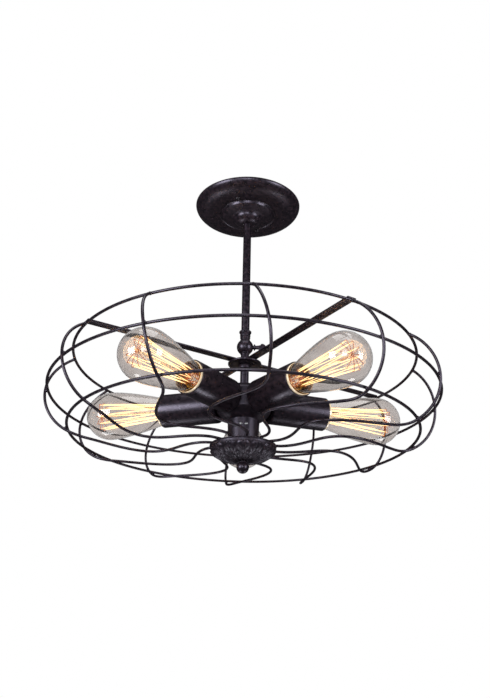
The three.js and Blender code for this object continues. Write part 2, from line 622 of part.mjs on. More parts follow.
function makeHolder() {
  const flangeRadius = CUP_INSIDE - FIT;
  const flangeStart = HOLDER_FACE - HOLDER_FLANGE;
  const boreEnd = HOLDER_FACE - HOLDER_BORE_DEPTH;
  return turned(
    [[0, HOLDER_START], [HOLDER_BODY_RADIUS, HOLDER_START], [HOLDER_BODY_RADIUS, flangeStart],
      [flangeRadius, flangeStart], [flangeRadius, HOLDER_FACE], [CAP_BORE, HOLDER_FACE],
      [CAP_BORE, boreEnd], [0, boreEnd]]
  );
}

function makeCap() {
  const shoulder = CAP_BACK + CAP_SHOULDER;
  return turned(
    [[0, CAP_BACK], [CAP_TIP_RADIUS, CAP_BACK], [CAP_RADIUS - CAP_CHAMFER, shoulder],
      [CAP_RADIUS, shoulder + CAP_CHAMFER], [CAP_RADIUS, CAP_FRONT], [0, CAP_FRONT]]
  );
}

// The glass's outline at a distance in from its outer face: a flared neck and a round end.
function glassSide(inset, endSteps) {
  const widest = BULB_TIP - BULB_DOME;
  const swellStart = GLASS_START + BULB_NECK_FLARE;
  const swellEnd = THREE.MathUtils.lerp(swellStart, widest, BULB_SWELL);
  const body = new THREE.QuadraticBezierCurve(
    new THREE.Vector2(BULB_NECK_RADIUS - inset, swellStart),
    new THREE.Vector2(BULB_RADIUS - inset, swellEnd),
    new THREE.Vector2(BULB_RADIUS - inset, widest)
  );
  const dome = new THREE.EllipseCurve(0, widest, BULB_RADIUS - inset, BULB_DOME - inset, 0, Math.PI / 2, false);
  const onDome = outlineOf(dome, endSteps).slice(1, -1);
  return [[CAP_RADIUS - inset, GLASS_START], ...outlineOf(body, 4), ...onDome, [0, BULB_TIP - inset]];
}

function makeGlass() {
  return turned([...glassSide(GLASS_WALL, 3).reverse(), ...glassSide(0, 4)]);
}

function makeFilament() {
  const end = BULB_TIP - SPIDER_CLEARANCE;
  const inner = GLASS_START + INNER_SPIDER_REACH;
  const post = FILAMENT_POST_RADIUS;
  return turned(
    [[0, GLASS_START], [2 * post, GLASS_START], [post, inner - FILAMENT_FLARE], [post, inner],
      [INNER_SPIDER_RADIUS, inner], [INNER_SPIDER_RADIUS, inner + SPIDER_THICKNESS],
      [post, inner + SPIDER_THICKNESS], [post, end - SPIDER_THICKNESS],
      [SPIDER_RADIUS, end - SPIDER_THICKNESS], [SPIDER_RADIUS, end], [0, end]], FILAMENT_FACETS
  );
}

for (let i = 0; i < LAMP_COUNT; i += 1) {
  const arm = new THREE.Group();
  arm.position.z = -LAMP_DROP;
  arm.rotation.set(Math.PI / 2, 0, lampAzimuth(i), "ZYX");
  cage.add(arm);
  add(arm, `socket_cup_${i + 1}`, makeCup(), paint);
  add(arm, `lampholder_${i + 1}`, makeHolder(), porcelain);
  add(arm, `lamp_cap_${i + 1}`, makeCap(), brass);
  add(arm, `lamp_glass_${i + 1}`, makeGlass(), smokedGlass);
  add(arm, `filament_mount_${i + 1}`, makeFilament(), filamentWire);
}

export default lamp;
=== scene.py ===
"""Semi-flush ceiling light with a fan-guard cage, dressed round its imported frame.

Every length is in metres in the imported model's own frame: the origin is on the light's axis in the plane
of the ceiling, +Z is up, and azimuths run from -Y towards +X. Sizes that the frame holds are read from it.
"""

from __future__ import annotations

import json
import logging
import math
import random
from dataclasses import dataclass, field
from enum import Enum
from typing import Callable, ClassVar, Sequence

import bmesh
import bpy
from mathutils import Matrix, Vector


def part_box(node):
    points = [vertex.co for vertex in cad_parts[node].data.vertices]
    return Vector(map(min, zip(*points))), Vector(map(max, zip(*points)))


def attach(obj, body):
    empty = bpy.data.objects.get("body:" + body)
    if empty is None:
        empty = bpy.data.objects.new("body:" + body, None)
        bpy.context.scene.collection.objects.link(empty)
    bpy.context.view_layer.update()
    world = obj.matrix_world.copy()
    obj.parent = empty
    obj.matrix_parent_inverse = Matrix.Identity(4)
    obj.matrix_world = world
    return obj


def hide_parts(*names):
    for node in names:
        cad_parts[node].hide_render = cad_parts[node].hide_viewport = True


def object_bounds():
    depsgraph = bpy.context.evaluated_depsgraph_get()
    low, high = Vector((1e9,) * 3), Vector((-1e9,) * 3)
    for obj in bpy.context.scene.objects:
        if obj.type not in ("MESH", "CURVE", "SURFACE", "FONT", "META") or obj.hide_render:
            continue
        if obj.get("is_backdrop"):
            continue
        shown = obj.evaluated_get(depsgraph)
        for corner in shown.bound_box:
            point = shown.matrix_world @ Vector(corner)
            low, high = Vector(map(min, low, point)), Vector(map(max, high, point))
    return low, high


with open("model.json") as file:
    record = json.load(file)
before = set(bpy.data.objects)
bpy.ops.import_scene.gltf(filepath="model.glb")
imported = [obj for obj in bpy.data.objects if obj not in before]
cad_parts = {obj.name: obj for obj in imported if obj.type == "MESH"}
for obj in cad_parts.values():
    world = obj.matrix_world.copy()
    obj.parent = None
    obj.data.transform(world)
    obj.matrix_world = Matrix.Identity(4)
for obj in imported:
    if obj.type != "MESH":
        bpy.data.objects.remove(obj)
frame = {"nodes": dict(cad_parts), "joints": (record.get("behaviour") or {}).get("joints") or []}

LOG = logging.getLogger("ceiling_light")
MM = 0.001
TURN = 2 * math.pi
QUARTER = math.pi / 2
SAME_POINT = 1e-8
CREASE_DEG = 38.0
FINE_CREASE_DEG = 30.0
WIRE_CREASE_DEG = 60.0
BULB_STEPS = 28
CURL_STEPS = 6
RINGS = ("top", "middle", "bottom")
# How far past a wire's end each row lies and how much of the radius it keeps, both in radii.
END_ROUNDING = ((1.0, 0.0), (0.7, 0.7))
RANGE_INPUTS = ("Value", "From Min", "From Max", "To Min", "To Max")

Outline = list[tuple[float, float]]
Corner = tuple[float, float, float]
Colour = tuple[float, float, float, float]
Span = tuple[float, float]
Piece = bpy.types.Object
EditMesh = bmesh.types.BMesh
Tree = bpy.types.NodeTree
Socket = bpy.types.NodeSocket


class Body(Enum):
    """The rigid bodies that pieces ride on, apart from the five lamps."""

    CEILING_MOUNT = "ceiling_mount"
    THUMB_SCREW = "thumb_screw"
    CAGE = "cage"


class Slot(Enum):
    """The record's material slots."""

    ENAMEL = "dark_bronze_paint"
    STEEL = "steel"
    BRASS = "brass"
    PORCELAIN = "porcelain"
    GLASS = "smoked_glass"
    FILAMENT = "filament"


# ---------------------------------------------------------------- materials
def linear(hex_colour: str) -> Colour:
    """Turns an sRGB hex colour into a linear colour.

    Args:
        hex_colour: The colour as "#rrggbb".

    Returns:
        Red, green, blue and an alpha of 1.
    """
    shares = [int(hex_colour[i : i + 2], 16) / 255 for i in (1, 3, 5)]
    red, green, blue = (s / 12.92 if s <= 0.04045 else ((s + 0.055) / 1.055) ** 2.4 for s in shares)
    return red, green, blue, 1.0


def add_node(
    tree: Tree, kind: str, inputs: dict[str | int, object] | None = None, **settings: object
) -> bpy.types.Node:
    """Adds a shader node with its settings, its values and its links.

    Args:
        tree: The node tree to add to.
        kind: The node's type name.
        inputs: For each input's name or number, a value or the socket that feeds it.
        **settings: The node's own properties.

    Returns:
        The new node.
    """
    node = tree.nodes.new(kind)
    for name, value in settings.items():
        setattr(node, name, value)
    for name, value in (inputs or {}).items():
        if isinstance(value, Socket):
            tree.links.new(value, node.inputs[name])
        else:
            node.inputs[name].default_value = value
    return node


@dataclass(frozen=True)
class Grain:
    """A cloudy pattern of a real size, which tints a surface, varies its gloss or embosses it.

    Its sizes are in millimetres: how big a patch is and how deep it is embossed.
    """

    size_mm: float
    detail: float
    depth_mm: float = 0.0
    stretch: tuple[float, float, float] = (1.0, 1.0, 1.0)

    def pattern(self, tree: Tree, place: Socket) -> Socket:
        """Adds the pattern itself, stretched along the axes that stretch makes small.

        Args:
            tree: The material's node tree.
            place: The object's own coordinates, in metres.

        Returns:
            The pattern as a value.
        """
        drawn = add_node(tree, "ShaderNodeMapping", {"Vector": place, "Scale": self.stretch}).outputs[0]
        inputs = {"Vector": drawn, "Scale": 1 / (self.size_mm * MM), "Detail": self.detail}
        return add_node(tree, "ShaderNodeTexNoise", inputs).outputs["Fac"]

    def tint(
        self,
        tree: Tree,
        place: Socket,
        colours: tuple[object, object],
        span: Span = (0.0, 1.0),
        share: float = 1.0,
    ) -> Socket:
        """Mottles one colour with another.

        Args:
            tree: The material's node tree.
            place: The object's own coordinates.
            colours: The ground colour or its socket, and the patches' colour.
            span: Where in the pattern the patches start to show and show in full.
            share: How much of the patches' colour shows at most.

        Returns:
            The mottled colour.
        """
        inputs = dict(zip(RANGE_INPUTS, (self.pattern(tree, place), *span, 0.0, share)))
        factor = add_node(tree, "ShaderNodeMapRange", inputs).outputs["Result"]
        ground, patches = colours
        return add_node(tree, "ShaderNodeMix", {0: factor, 6: ground, 7: patches}, data_type="RGBA").outputs[2]

    def gloss(self, tree: Tree, place: Socket, roughness: Span, span: Span = (0.3, 0.7)) -> Socket:
        """Varies a surface's roughness.

        Args:
            tree: The material's node tree.
            place: The object's own coordinates.
            roughness: The least and the most roughness.
            span: The part of the pattern that runs from one to the other.

        Returns:
            The roughness.
        """
        inputs = dict(zip(RANGE_INPUTS, (self.pattern(tree, place), *span, *roughness)))
        return add_node(tree, "ShaderNodeMapRange", inputs).outputs["Result"]

    def emboss(self, tree: Tree, place: Socket, strength: float) -> Socket:
        """Embosses the pattern to its depth.

        Args:
            tree: The material's node tree.
            place: The object's own coordinates.
            strength: How much of the depth tells.

        Returns:
            The surface's normal.
        """
        inputs = {"Height": self.pattern(tree, place), "Distance": self.depth_mm * MM, "Strength": strength}
        return add_node(tree, "ShaderNodeBump", inputs).outputs["Normal"]


@dataclass(frozen=True)
class Finish:
    """A finish that makes one material and shares it among its pieces."""

    name: ClassVar[str] = ""
    slot: ClassVar[Slot] = Slot.ENAMEL

    def material(self) -> bpy.types.Material:
        """Finds this finish's material, or makes it.

        Returns:
            The material.
        """
        found = bpy.data.materials.get(self.name)
        if found:
            return found
        material = bpy.data.materials.new(self.name)
        material.use_nodes = True
        tree = material.node_tree
        tree.nodes.clear()
        place = add_node(tree, "ShaderNodeTexCoord").outputs["Object"]
        surface = self.surface(tree, place)
        add_node(tree, "ShaderNodeOutputMaterial", {"Surface": surface})
        return material

    def surface(self, tree: Tree, place: Socket) -> Socket:
        """Builds the finish's shader.

        Args:
            tree: The material's node tree.
            place: The object's own coordinates, in metres.

        Returns:
            The shader's output.
        """
        raise NotImplementedError


@dataclass(frozen=True)
class BronzeEnamel(Finish):
    """Oil-rubbed bronze stove enamel, sprayed on steel and baked.

    It looks almost black, with violet-grey highlights, faint brown blotches where the brown coat under it
    comes through, brown flecks and the slight orange peel of a sprayed coat. Real orange peel is about half
    as coarse, and too fine to show.
    """

    name: ClassVar[str] = "bronze_enamel_on_steel"
    slot: ClassVar[Slot] = Slot.ENAMEL
    coat: str = "#0c090d"
    blotch: str = "#1d151b"
    fleck: str = "#4a3232"
    highlight: str = "#e6defa"
    blotches: Grain = Grain(4.5, 4.0)
    flecks: Grain = Grain(2.0, 3.0)
    fleck_share: float = 0.6
    peel: Grain = Grain(1.1, 1.0, 0.05)
    gloss: Span = (0.27, 0.37)
    ior: float = 1.5

    def surface(self, tree: Tree, place: Socket) -> Socket:
        """Builds the enamel's shader. See Finish.surface."""
        coats = (linear(self.coat), linear(self.blotch))
        blotched = self.blotches.tint(tree, place, coats, (0.42, 0.66))
        flecked = self.flecks.tint(tree, place, (blotched, linear(self.fleck)), (0.63, 0.72), self.fleck_share)
        inputs = {
            "Base Color": flecked,
            "Roughness": self.blotches.gloss(tree, place, self.gloss, (0.35, 0.65)),
            "Normal": self.peel.emboss(tree, place, 0.5),
            "IOR": self.ior,
            "Specular Tint": linear(self.highlight),
        }
        return add_node(tree, "ShaderNodeBsdfPrincipled", inputs).outputs[0]


@dataclass(frozen=True)
class CastEnamel(BronzeEnamel):
    """The same enamel over a sand casting: duller, and coarser where the sand's grain shows through."""

    name: ClassVar[str] = "bronze_enamel_on_casting"
    peel: Grain = Grain(1.5, 1.0, 0.12)
    gloss: Span = (0.34, 0.48)


@dataclass(frozen=True)
class ZincPlate(Finish):
    """Zinc-plated mild steel, as on crossbars and machine screws: a cool grey metal, rubbed one way."""

    name: ClassVar[str] = "zinc_plated_steel"
    slot: ClassVar[Slot] = Slot.STEEL
    metal: str = "#b4b6b9"
    dull: str = "#8c8d92"
    spangle: Grain = Grain(3.0, 3.0)
    scratches: Grain = Grain(0.35, 2.0, 0.02, (1.0, 0.06, 1.0))
    gloss: Span = (0.26, 0.42)

    def surface(self, tree: Tree, place: Socket) -> Socket:
        """Builds the plating's shader. See Finish.surface."""
        metals = (linear(self.metal), linear(self.dull))
        inputs = {
            "Base Color": self.spangle.tint(tree, place, metals, (0.4, 0.7)),
            "Metallic": 1.0,
            "Roughness": self.scratches.gloss(tree, place, self.gloss),
            "Normal": self.scratches.emboss(tree, place, 0.4),
        }
        return add_node(tree, "ShaderNodeBsdfPrincipled", inputs).outputs[0]


@dataclass(frozen=True)
class BlackZinc(ZincPlate):
    """Zinc plate under a black passivation, as on the canopy's screws: the same metal, dark and duller."""

    name: ClassVar[str] = "black_zinc_plated_steel"
    metal: str = "#4a474c"
    dull: str = "#2c292d"


@dataclass(frozen=True)
class ShellBrass(Finish):
    """Thin drawn brass, as on screw caps and their shells: yellow metal, browned in patches by the heat."""

    name: ClassVar[str] = "drawn_brass_sheet"
    slot: ClassVar[Slot] = Slot.BRASS
    metal: str = "#b98a3e"
    tarnish: str = "#6b4a22"
    patches: Grain = Grain(5.0, 5.0, 0.1)
    gloss: Span = (0.2, 0.4)

    def surface(self, tree: Tree, place: Socket) -> Socket:
        """Builds the brass's shader. See Finish.surface."""
        metals = (linear(self.metal), linear(self.tarnish))
        inputs = {
            "Base Color": self.patches.tint(tree, place, metals, (0.45, 0.68)),
            "Metallic": 1.0,
            "Roughness": self.patches.gloss(tree, place, self.gloss, (0.35, 0.65)),
            "Normal": self.patches.emboss(tree, place, 0.3),
        }
        return add_node(tree, "ShaderNodeBsdfPrincipled", inputs).outputs[0]


@dataclass(frozen=True)
class GlazedPorcelain(Finish):
    """Electrical porcelain under a clear glaze: warm cream, glossy, with a few iron specks."""

    name: ClassVar[str] = "glazed_porcelain"
    slot: ClassVar[Slot] = Slot.PORCELAIN
    body: str = "#c9bba3"
    shade: str = "#b3a184"
    speck: str = "#8a6a4a"
    clouds: Grain = Grain(8.0, 3.0, 0.2)
    specks: Grain = Grain(0.9, 1.0)
    speck_share: float = 0.8
    gloss: Span = (0.12, 0.2)
    ior: float = 1.52

    def surface(self, tree: Tree, place: Socket) -> Socket:
        """Builds the porcelain's shader. See Finish.surface."""
        bodies = (linear(self.body), linear(self.shade))
        clouded = self.clouds.tint(tree, place, bodies, (0.4, 0.7))
        inputs = {
            "Base Color": self.specks.tint(
                tree, place, (clouded, linear(self.speck)), (0.74, 0.8), self.speck_share
            ),
            "Roughness": self.clouds.gloss(tree, place, self.gloss),
            "Normal": self.clouds.emboss(tree, place, 0.2),
            "IOR": self.ior,
            "Coat Weight": 0.6,
            "Coat Roughness": 0.05,
        }
        return add_node(tree, "ShaderNodeBsdfPrincipled", inputs).outputs[0]


@dataclass(frozen=True)
class BlownGlass(Finish):
    """Soda-lime glass, blown thin: clear with a slight wave in it, and smoked or left plain.

    Each of its two surfaces takes its share of the tint. Lamps shine through it, so rays from lights pass
    with the tint instead of being stopped: "through" is what one wall lets through, entering and leaving.
    """

    name: ClassVar[str] = "smoked_blown_glass"
    slot: ClassVar[Slot] = Slot.GLASS
    tint: str = "#dedad8"
    deep: str = "#d6d0cd"
    through: str = "#ebe8e5"
    waves: Grain = Grain(22.0, 1.0, 0.12)
    ior: float = 1.5

    def surface(self, tree: Tree, place: Socket) -> Socket:
        """Builds the glass's shader. See Finish.surface."""
        inputs = {
            "Base Color": self.waves.tint(tree, place, (linear(self.tint), linear(self.deep)), (0.35, 0.7)),
            "Roughness": 0.0,
            "IOR": self.ior,
            "Transmission Weight": 1.0,
            "Normal": self.waves.emboss(tree, place, 0.08),
        }
        glass = add_node(tree, "ShaderNodeBsdfPrincipled", inputs).outputs[0]
        clear = add_node(tree, "ShaderNodeBsdfTransparent", {"Color": linear(self.through)}).outputs[0]
        shadow = add_node(tree, "ShaderNodeLightPath").outputs["Is Shadow Ray"]
        return add_node(tree, "ShaderNodeMixShader", {0: shadow, 1: glass, 2: clear}).outputs[0]


@dataclass(frozen=True)
class LeadGlass(BlownGlass):
    """Lead glass of the lamp's inner stem: clear, and wavier than the bulb."""

    name: ClassVar[str] = "clear_lead_glass"
    tint: str = "#fbf6ee"
    deep: str = "#f6ecdc"
    through: str = "#fdfaf4"
    waves: Grain = Grain(3.0, 1.0, 0.3)


@dataclass(frozen=True)
class GlowingCarbon(Finish):
    """A carbon filament at working heat: its own orange-yellow light hides the black thread."""

    name: ClassVar[str] = "glowing_carbon_filament"
    slot: ClassVar[Slot] = Slot.FILAMENT
    thread: str = "#b9651f"
    ash: str = "#e09a48"
    glow: str = "#ffe2a0"
    strength: float = 3.4
    grain: Grain = Grain(2.0, 2.0)

    def surface(self, tree: Tree, place: Socket) -> Socket:
        """Builds the filament's shader. See Finish.surface."""
        inputs = {
            "Base Color": self.grain.tint(tree, place, (linear(self.thread), linear(self.ash))),
            "Roughness": 0.7,
            "Emission Color": linear(self.glow),
            "Emission Strength": self.strength,
        }
        return add_node(tree, "ShaderNodeBsdfPrincipled", inputs).outputs[0]


@dataclass(frozen=True)
class MolybdenumWithPaintedGlow(Finish):
    """Molybdenum support wire beside the filament, a dull metal, with painted lamp light: its orange-brown
    colour and faint orange glow stand in for the filament's light on it.
    """

    name: ClassVar[str] = "molybdenum_wire_painted_glow"
    slot: ClassVar[Slot] = Slot.FILAMENT
    # Painted lamp light: the orange-brown metal and scale colours stand in for the filament's warm light on a
    # grey wire.
    metal: str = "#b06a34"
    scale: str = "#5c3018"
    # Painted glow: the wire is no lamp; this emission stands in for the filament's light falling on it.
    glow: str = "#ff7a1e"
    strength: float = 0.35
    grain: Grain = Grain(1.5, 2.0)

    def surface(self, tree: Tree, place: Socket) -> Socket:
        """Builds the wire's shader. See Finish.surface."""
        inputs = {
            "Base Color": self.grain.tint(tree, place, (linear(self.metal), linear(self.scale))),
            "Metallic": 0.8,
            "Roughness": self.grain.gloss(tree, place, (0.3, 0.5)),
            # Painted glow: emission in place of the filament's light on the wire.
            "Emission Color": linear(self.glow),
            "Emission Strength": self.strength,
        }
        return add_node(tree, "ShaderNodeBsdfPrincipled", inputs).outputs[0]


@dataclass(frozen=True)
class Vitrite(Finish):
    """Vitrite, the black glass that insulates a screw cap's contact: glossy, with a pitted skin."""

    name: ClassVar[str] = "black_vitrite_glass"
    slot: ClassVar[Slot] = Slot.BRASS
    body: str = "#151217"
    pit: str = "#2a2530"
    pits: Grain = Grain(0.8, 2.0, 0.1)
    ior: float = 1.6

    def surface(self, tree: Tree, place: Socket) -> Socket:
        """Builds the insulator's shader. See Finish.surface."""
        inputs = {
            "Base Color": self.pits.tint(tree, place, (linear(self.body), linear(self.pit))),
            "Roughness": self.pits.gloss(tree, place, (0.15, 0.35)),
            "Normal": self.pits.emboss(tree, place, 0.4),
            "IOR": self.ior,
        }
        return add_node(tree, "ShaderNodeBsdfPrincipled", inputs).outputs[0]


@dataclass(frozen=True)
class BackdropPaper(Finish):
    """Matt white background paper with a faint felt tooth."""

    name: ClassVar[str] = "backdrop_paper"
    paper: str = "#e2e0dc"
    tooth: str = "#dad8d3"
    grain: Grain = Grain(6.0, 2.0)

    def surface(self, tree: Tree, place: Socket) -> Socket:
        """Builds the paper's shader. See Finish.surface."""
        inputs = {
            "Base Color": self.grain.tint(tree, place, (linear(self.paper), linear(self.tooth))),
            "Roughness": 0.95,
        }
        return add_node(tree, "ShaderNodeBsdfPrincipled", inputs).outputs[0]


# ---------------------------------------------------------------- making meshes
def smooth(piece: Piece, crease_deg: float) -> None:
    """Makes a piece's faces smooth, apart from the edges that turn by more than crease_deg."""
    piece.data.shade_smooth()
    piece.data.set_sharp_from_angle(angle=math.radians(crease_deg))


def mesh_object(name: str, mesh: EditMesh, crease_deg: float = CREASE_DEG) -> Piece:
    """Turns an edit mesh into an object with smooth faces and sharp creases.

    Args:
        name: The piece's name.
        mesh: The edit mesh, which is freed.
        crease_deg: Edges that turn by more than this stay sharp.

    Returns:
        The object, linked to the scene.
    """
    bmesh.ops.recalc_face_normals(mesh, faces=mesh.faces)
    data = bpy.data.meshes.new(name)
    mesh.to_mesh(data)
    mesh.free()
    piece = bpy.data.objects.new(name, data)
    smooth(piece, crease_deg)
    bpy.context.scene.collection.objects.link(piece)
    return piece


def bridge(mesh: EditMesh, first: Sequence, second: Sequence, closed: bool = True) -> None:
    """Joins two rows of vertices with faces; a row of one vertex is a pole.

    Args:
        mesh: The edit mesh.
        first: One row.
        second: The next row.
        closed: Whether the rows run all the way round.
    """
    count = max(len(first), len(second))
    for i in range(count if closed else count - 1):
        j = (i + 1) % count
        corners = []
        for row, k in ((first, i), (first, j), (second, j), (second, i)):
            vertex = row[0] if len(row) == 1 else row[k]
            if vertex not in corners:
                corners.append(vertex)
        if len(corners) > 2:
            mesh.faces.new(corners)


def surface_of(
    name: str,
    rows: int,
    columns: int,
    point: Callable[[int, float], Vector],
    closed: bool,
    crease_deg: float = CREASE_DEG,
) -> Piece:
    """Makes a surface of rows that run round it.

    Args:
        name: The piece's name.
        rows: How many rows there are.
        columns: Steps round each row.
        point: Gives the point of a row at an angle.
        closed: Whether the last row joins the first, as on a ring; if not, a row on one point is a pole.
        crease_deg: Edges that turn by more than this stay sharp.

    Returns:
        The object.
    """
    mesh = bmesh.new()
    lines = []
    for row in range(rows):
        points = [point(row, TURN * column / columns) for column in range(columns)]
        if all((p - points[0]).length < SAME_POINT for p in points):
            points = points[:1]
        lines.append([mesh.verts.new(p) for p in points])
    for first, second in zip(lines, lines[1:] + (lines[:1] if closed else [])):
        bridge(mesh, first, second)
    return mesh_object(name, mesh, crease_deg)


def revolve(name: str, outline: Outline, columns: int = 96, crease_deg: float = CREASE_DEG) -> Piece:
    """Turns an outline about Z into a closed solid.

    Args:
        name: The piece's name.
        outline: Radius and height of each point. It starts and ends on the axis, or closes on itself.
        columns: Steps round the axis.
        crease_deg: Edges that turn by more than this stay sharp.

    Returns:
        The object.
    """

    def point(row: int, angle: float) -> Vector:
        """Gives a point of the outline at an angle."""
        radius, height = outline[row]
        return Vector((radius * math.cos(angle), radius * math.sin(angle), height))

    closed = outline[0][0] > SAME_POINT
    return surface_of(name, len(outline), columns, point, closed, crease_deg)


def rounded(corners: Sequence[Corner], closed: bool = True, steps: int = 4) -> Outline:
    """Rounds the corners of an outline.

    Args:
        corners: Radius, height and rounding of each corner.
        closed: Whether the last corner joins the first.
        steps: Steps round each corner.

    Returns:
        The outline's points.
    """
    points: Outline = []
    count = len(corners)
    for i, (radius, height, bend) in enumerate(corners):
        here = Vector((radius, height))
        if bend <= 0 or (not closed and i in (0, count - 1)):
            points.append((radius, height))
            continue
        before = Vector(corners[i - 1][:2]) - here
        after = Vector(corners[(i + 1) % count][:2]) - here
        half = before.angle(after) / 2
        reach = min(bend / math.tan(half), 0.48 * before.length, 0.48 * after.length)
        start, end = here + before.normalized() * reach, here + after.normalized() * reach
        for step in range(steps + 1):
            t = step / steps
            p = start * (1 - t) ** 2 + here * 2 * t * (1 - t) + end * t**2
            points.append((p.x, p.y))
    return points


def arc(
    centre: tuple[float, float], radii: tuple[float, float], start_deg: float, end_deg: float, steps: int
) -> Outline:
    """Gives the points of an elliptical arc in an outline's plane.

    Args:
        centre: The arc's centre.
        radii: Its radius along the outline's radius and along its height.
        start_deg: Where it starts, from the direction of the radius.
        end_deg: Where it ends.
        steps: How many steps it takes.

    Returns:
        The points, both ends included.
    """
    angles = [math.radians(start_deg + (end_deg - start_deg) * i / steps) for i in range(steps + 1)]
    return [(centre[0] + radii[0] * math.cos(a), centre[1] + radii[1] * math.sin(a)) for a in angles]


def sweep(name: str, path: Sequence[Vector], radius: float, sides: int = 12) -> Piece:
    """Runs a round wire along a path and rounds its ends.

    Args:
        name: The piece's name.
        path: The wire's middle line.
        radius: The wire's radius.
        sides: Steps round the wire.

    Returns:
        The object.
    """
    mesh = bmesh.new()
    add_wire(mesh, path, radius, sides)
    return mesh_object(name, mesh, WIRE_CREASE_DEG)


def add_wire(mesh: EditMesh, path: Sequence[Vector], radius: float, sides: int) -> None:
    """Adds one round wire with rounded ends to an edit mesh.

    Args:
        mesh: The edit mesh.
        path: The wire's middle line.
        radius: The wire's radius.
        sides: Steps round the wire.
    """
    tangents = []
    for i in range(len(path)):
        ahead, behind = path[min(i + 1, len(path) - 1)], path[max(i - 1, 0)]
        tangents.append((ahead - behind).normalized())
    across = tangents[0].orthogonal().normalized()
    start, end = tangents[0] * radius, tangents[-1] * radius
    stations = [(path[0] - start * out, tangents[0], share) for out, share in END_ROUNDING]
    stations += [(p, t, 1.0) for p, t in zip(path, tangents)]
    stations += [(path[-1] + end * out, tangents[-1], share) for out, share in END_ROUNDING[::-1]]
    rows = []
    for place, tangent, share in stations:
        across = (across - tangent * across.dot(tangent)).normalized()
        other = tangent.cross(across)
        if share == 0:
            rows.append([mesh.verts.new(place)])
            continue
        angles = [TURN * k / sides for k in range(sides)]
        ring = [place + (across * math.cos(a) + other * math.sin(a)) * radius * share for a in angles]
        rows.append([mesh.verts.new(p) for p in ring])
    for first, second in zip(rows, rows[1:]):
        bridge(mesh, first, second)


def box_solid(name: str, low: Vector, high: Vector) -> Piece:
    """Makes a plain block, for cutting with or for rounding afterwards.

    Args:
        name: The block's name.
        low: Its lowest corner.
        high: Its highest corner.

    Returns:
        The object.
    """
    mesh = bmesh.new()
    bmesh.ops.create_cube(mesh, size=1.0)
    size = high - low
    mesh.transform(Matrix.Translation((low + high) / 2) @ Matrix.Diagonal((*size, 1.0)))
    return mesh_object(name, mesh)


def apply_modifiers(piece: Piece) -> None:
    """Bakes a piece's modifiers into its mesh."""
    graph = bpy.context.evaluated_depsgraph_get()
    data = bpy.data.meshes.new_from_object(piece.evaluated_get(graph))
    piece.modifiers.clear()
    piece.data = data


def combine(piece: Piece, tool: Piece, operation: str) -> None:
    """Joins a piece with a tool, or cuts or trims it, and removes the tool.

    Args:
        piece: The piece to change.
        tool: The other solid.
        operation: UNION, DIFFERENCE or INTERSECT.
    """
    modifier = piece.modifiers.new("combine", "BOOLEAN")
    modifier.operation = operation
    modifier.solver = "EXACT"
    modifier.object = tool
    apply_modifiers(piece)
    bpy.data.objects.remove(tool)


def soften(piece: Piece, width: float, segments: int = 2, angle_deg: float = 35.0) -> None:
    """Rounds a piece's hard edges.

    Args:
        piece: The piece to change.
        width: The width of the rounding.
        segments: Faces across it.
        angle_deg: Edges that turn by more than this are rounded.
    """
    modifier = piece.modifiers.new("soften", "BEVEL")
    modifier.width = width
    modifier.segments = segments
    modifier.limit_method = "ANGLE"
    modifier.angle_limit = math.radians(angle_deg)
    apply_modifiers(piece)
    smooth(piece, CREASE_DEG)


def move(piece: Piece, matrix: Matrix) -> Piece:
    """Moves a piece's mesh, so that its object stays at the origin, and returns the piece."""
    piece.data.transform(matrix)
    piece.data.update()
    return piece


def dress(piece: Piece, finish: Finish, body: str, *nodes: str) -> Piece:
    """Gives a piece its finish, its body and the CAD nodes that it stands for.

    Args:
        piece: The finished piece, in place.
        finish: Its finish.
        body: The body that it rides on.
        *nodes: The CAD nodes that it replaces.

    Returns:
        The piece.
    """
    piece.data.materials.clear()
    piece.data.materials.append(finish.material())
    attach(piece, body)
    if nodes:
        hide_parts(*nodes)
    LOG.info("%s: %s on %s", piece.name, finish.name, body)
    return piece


def around(radius: float, azimuth: float, height: float) -> Vector:
    """Gives the point at a radius, an azimuth in radians and a height."""
    return Vector((radius * math.sin(azimuth), -radius * math.cos(azimuth), height))


def joint(name: str) -> dict:
    """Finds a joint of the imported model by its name."""
    return next(j for j in frame["joints"] if j["name"] == name)


@dataclass(frozen=True)
class Extent:
    """How far a CAD node reaches from the light's axis, and between what heights."""

    radius: float
    low: float
    high: float

    @classmethod
    def of(cls, node: str) -> Extent:
        """Measures a node that stands on the light's axis.

        Args:
            node: The CAD node's name.

        Returns:
            Its extent.
        """
        low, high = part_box(node)
        return cls(max(-low.x, high.x, -low.y, high.y), low.z, high.z)


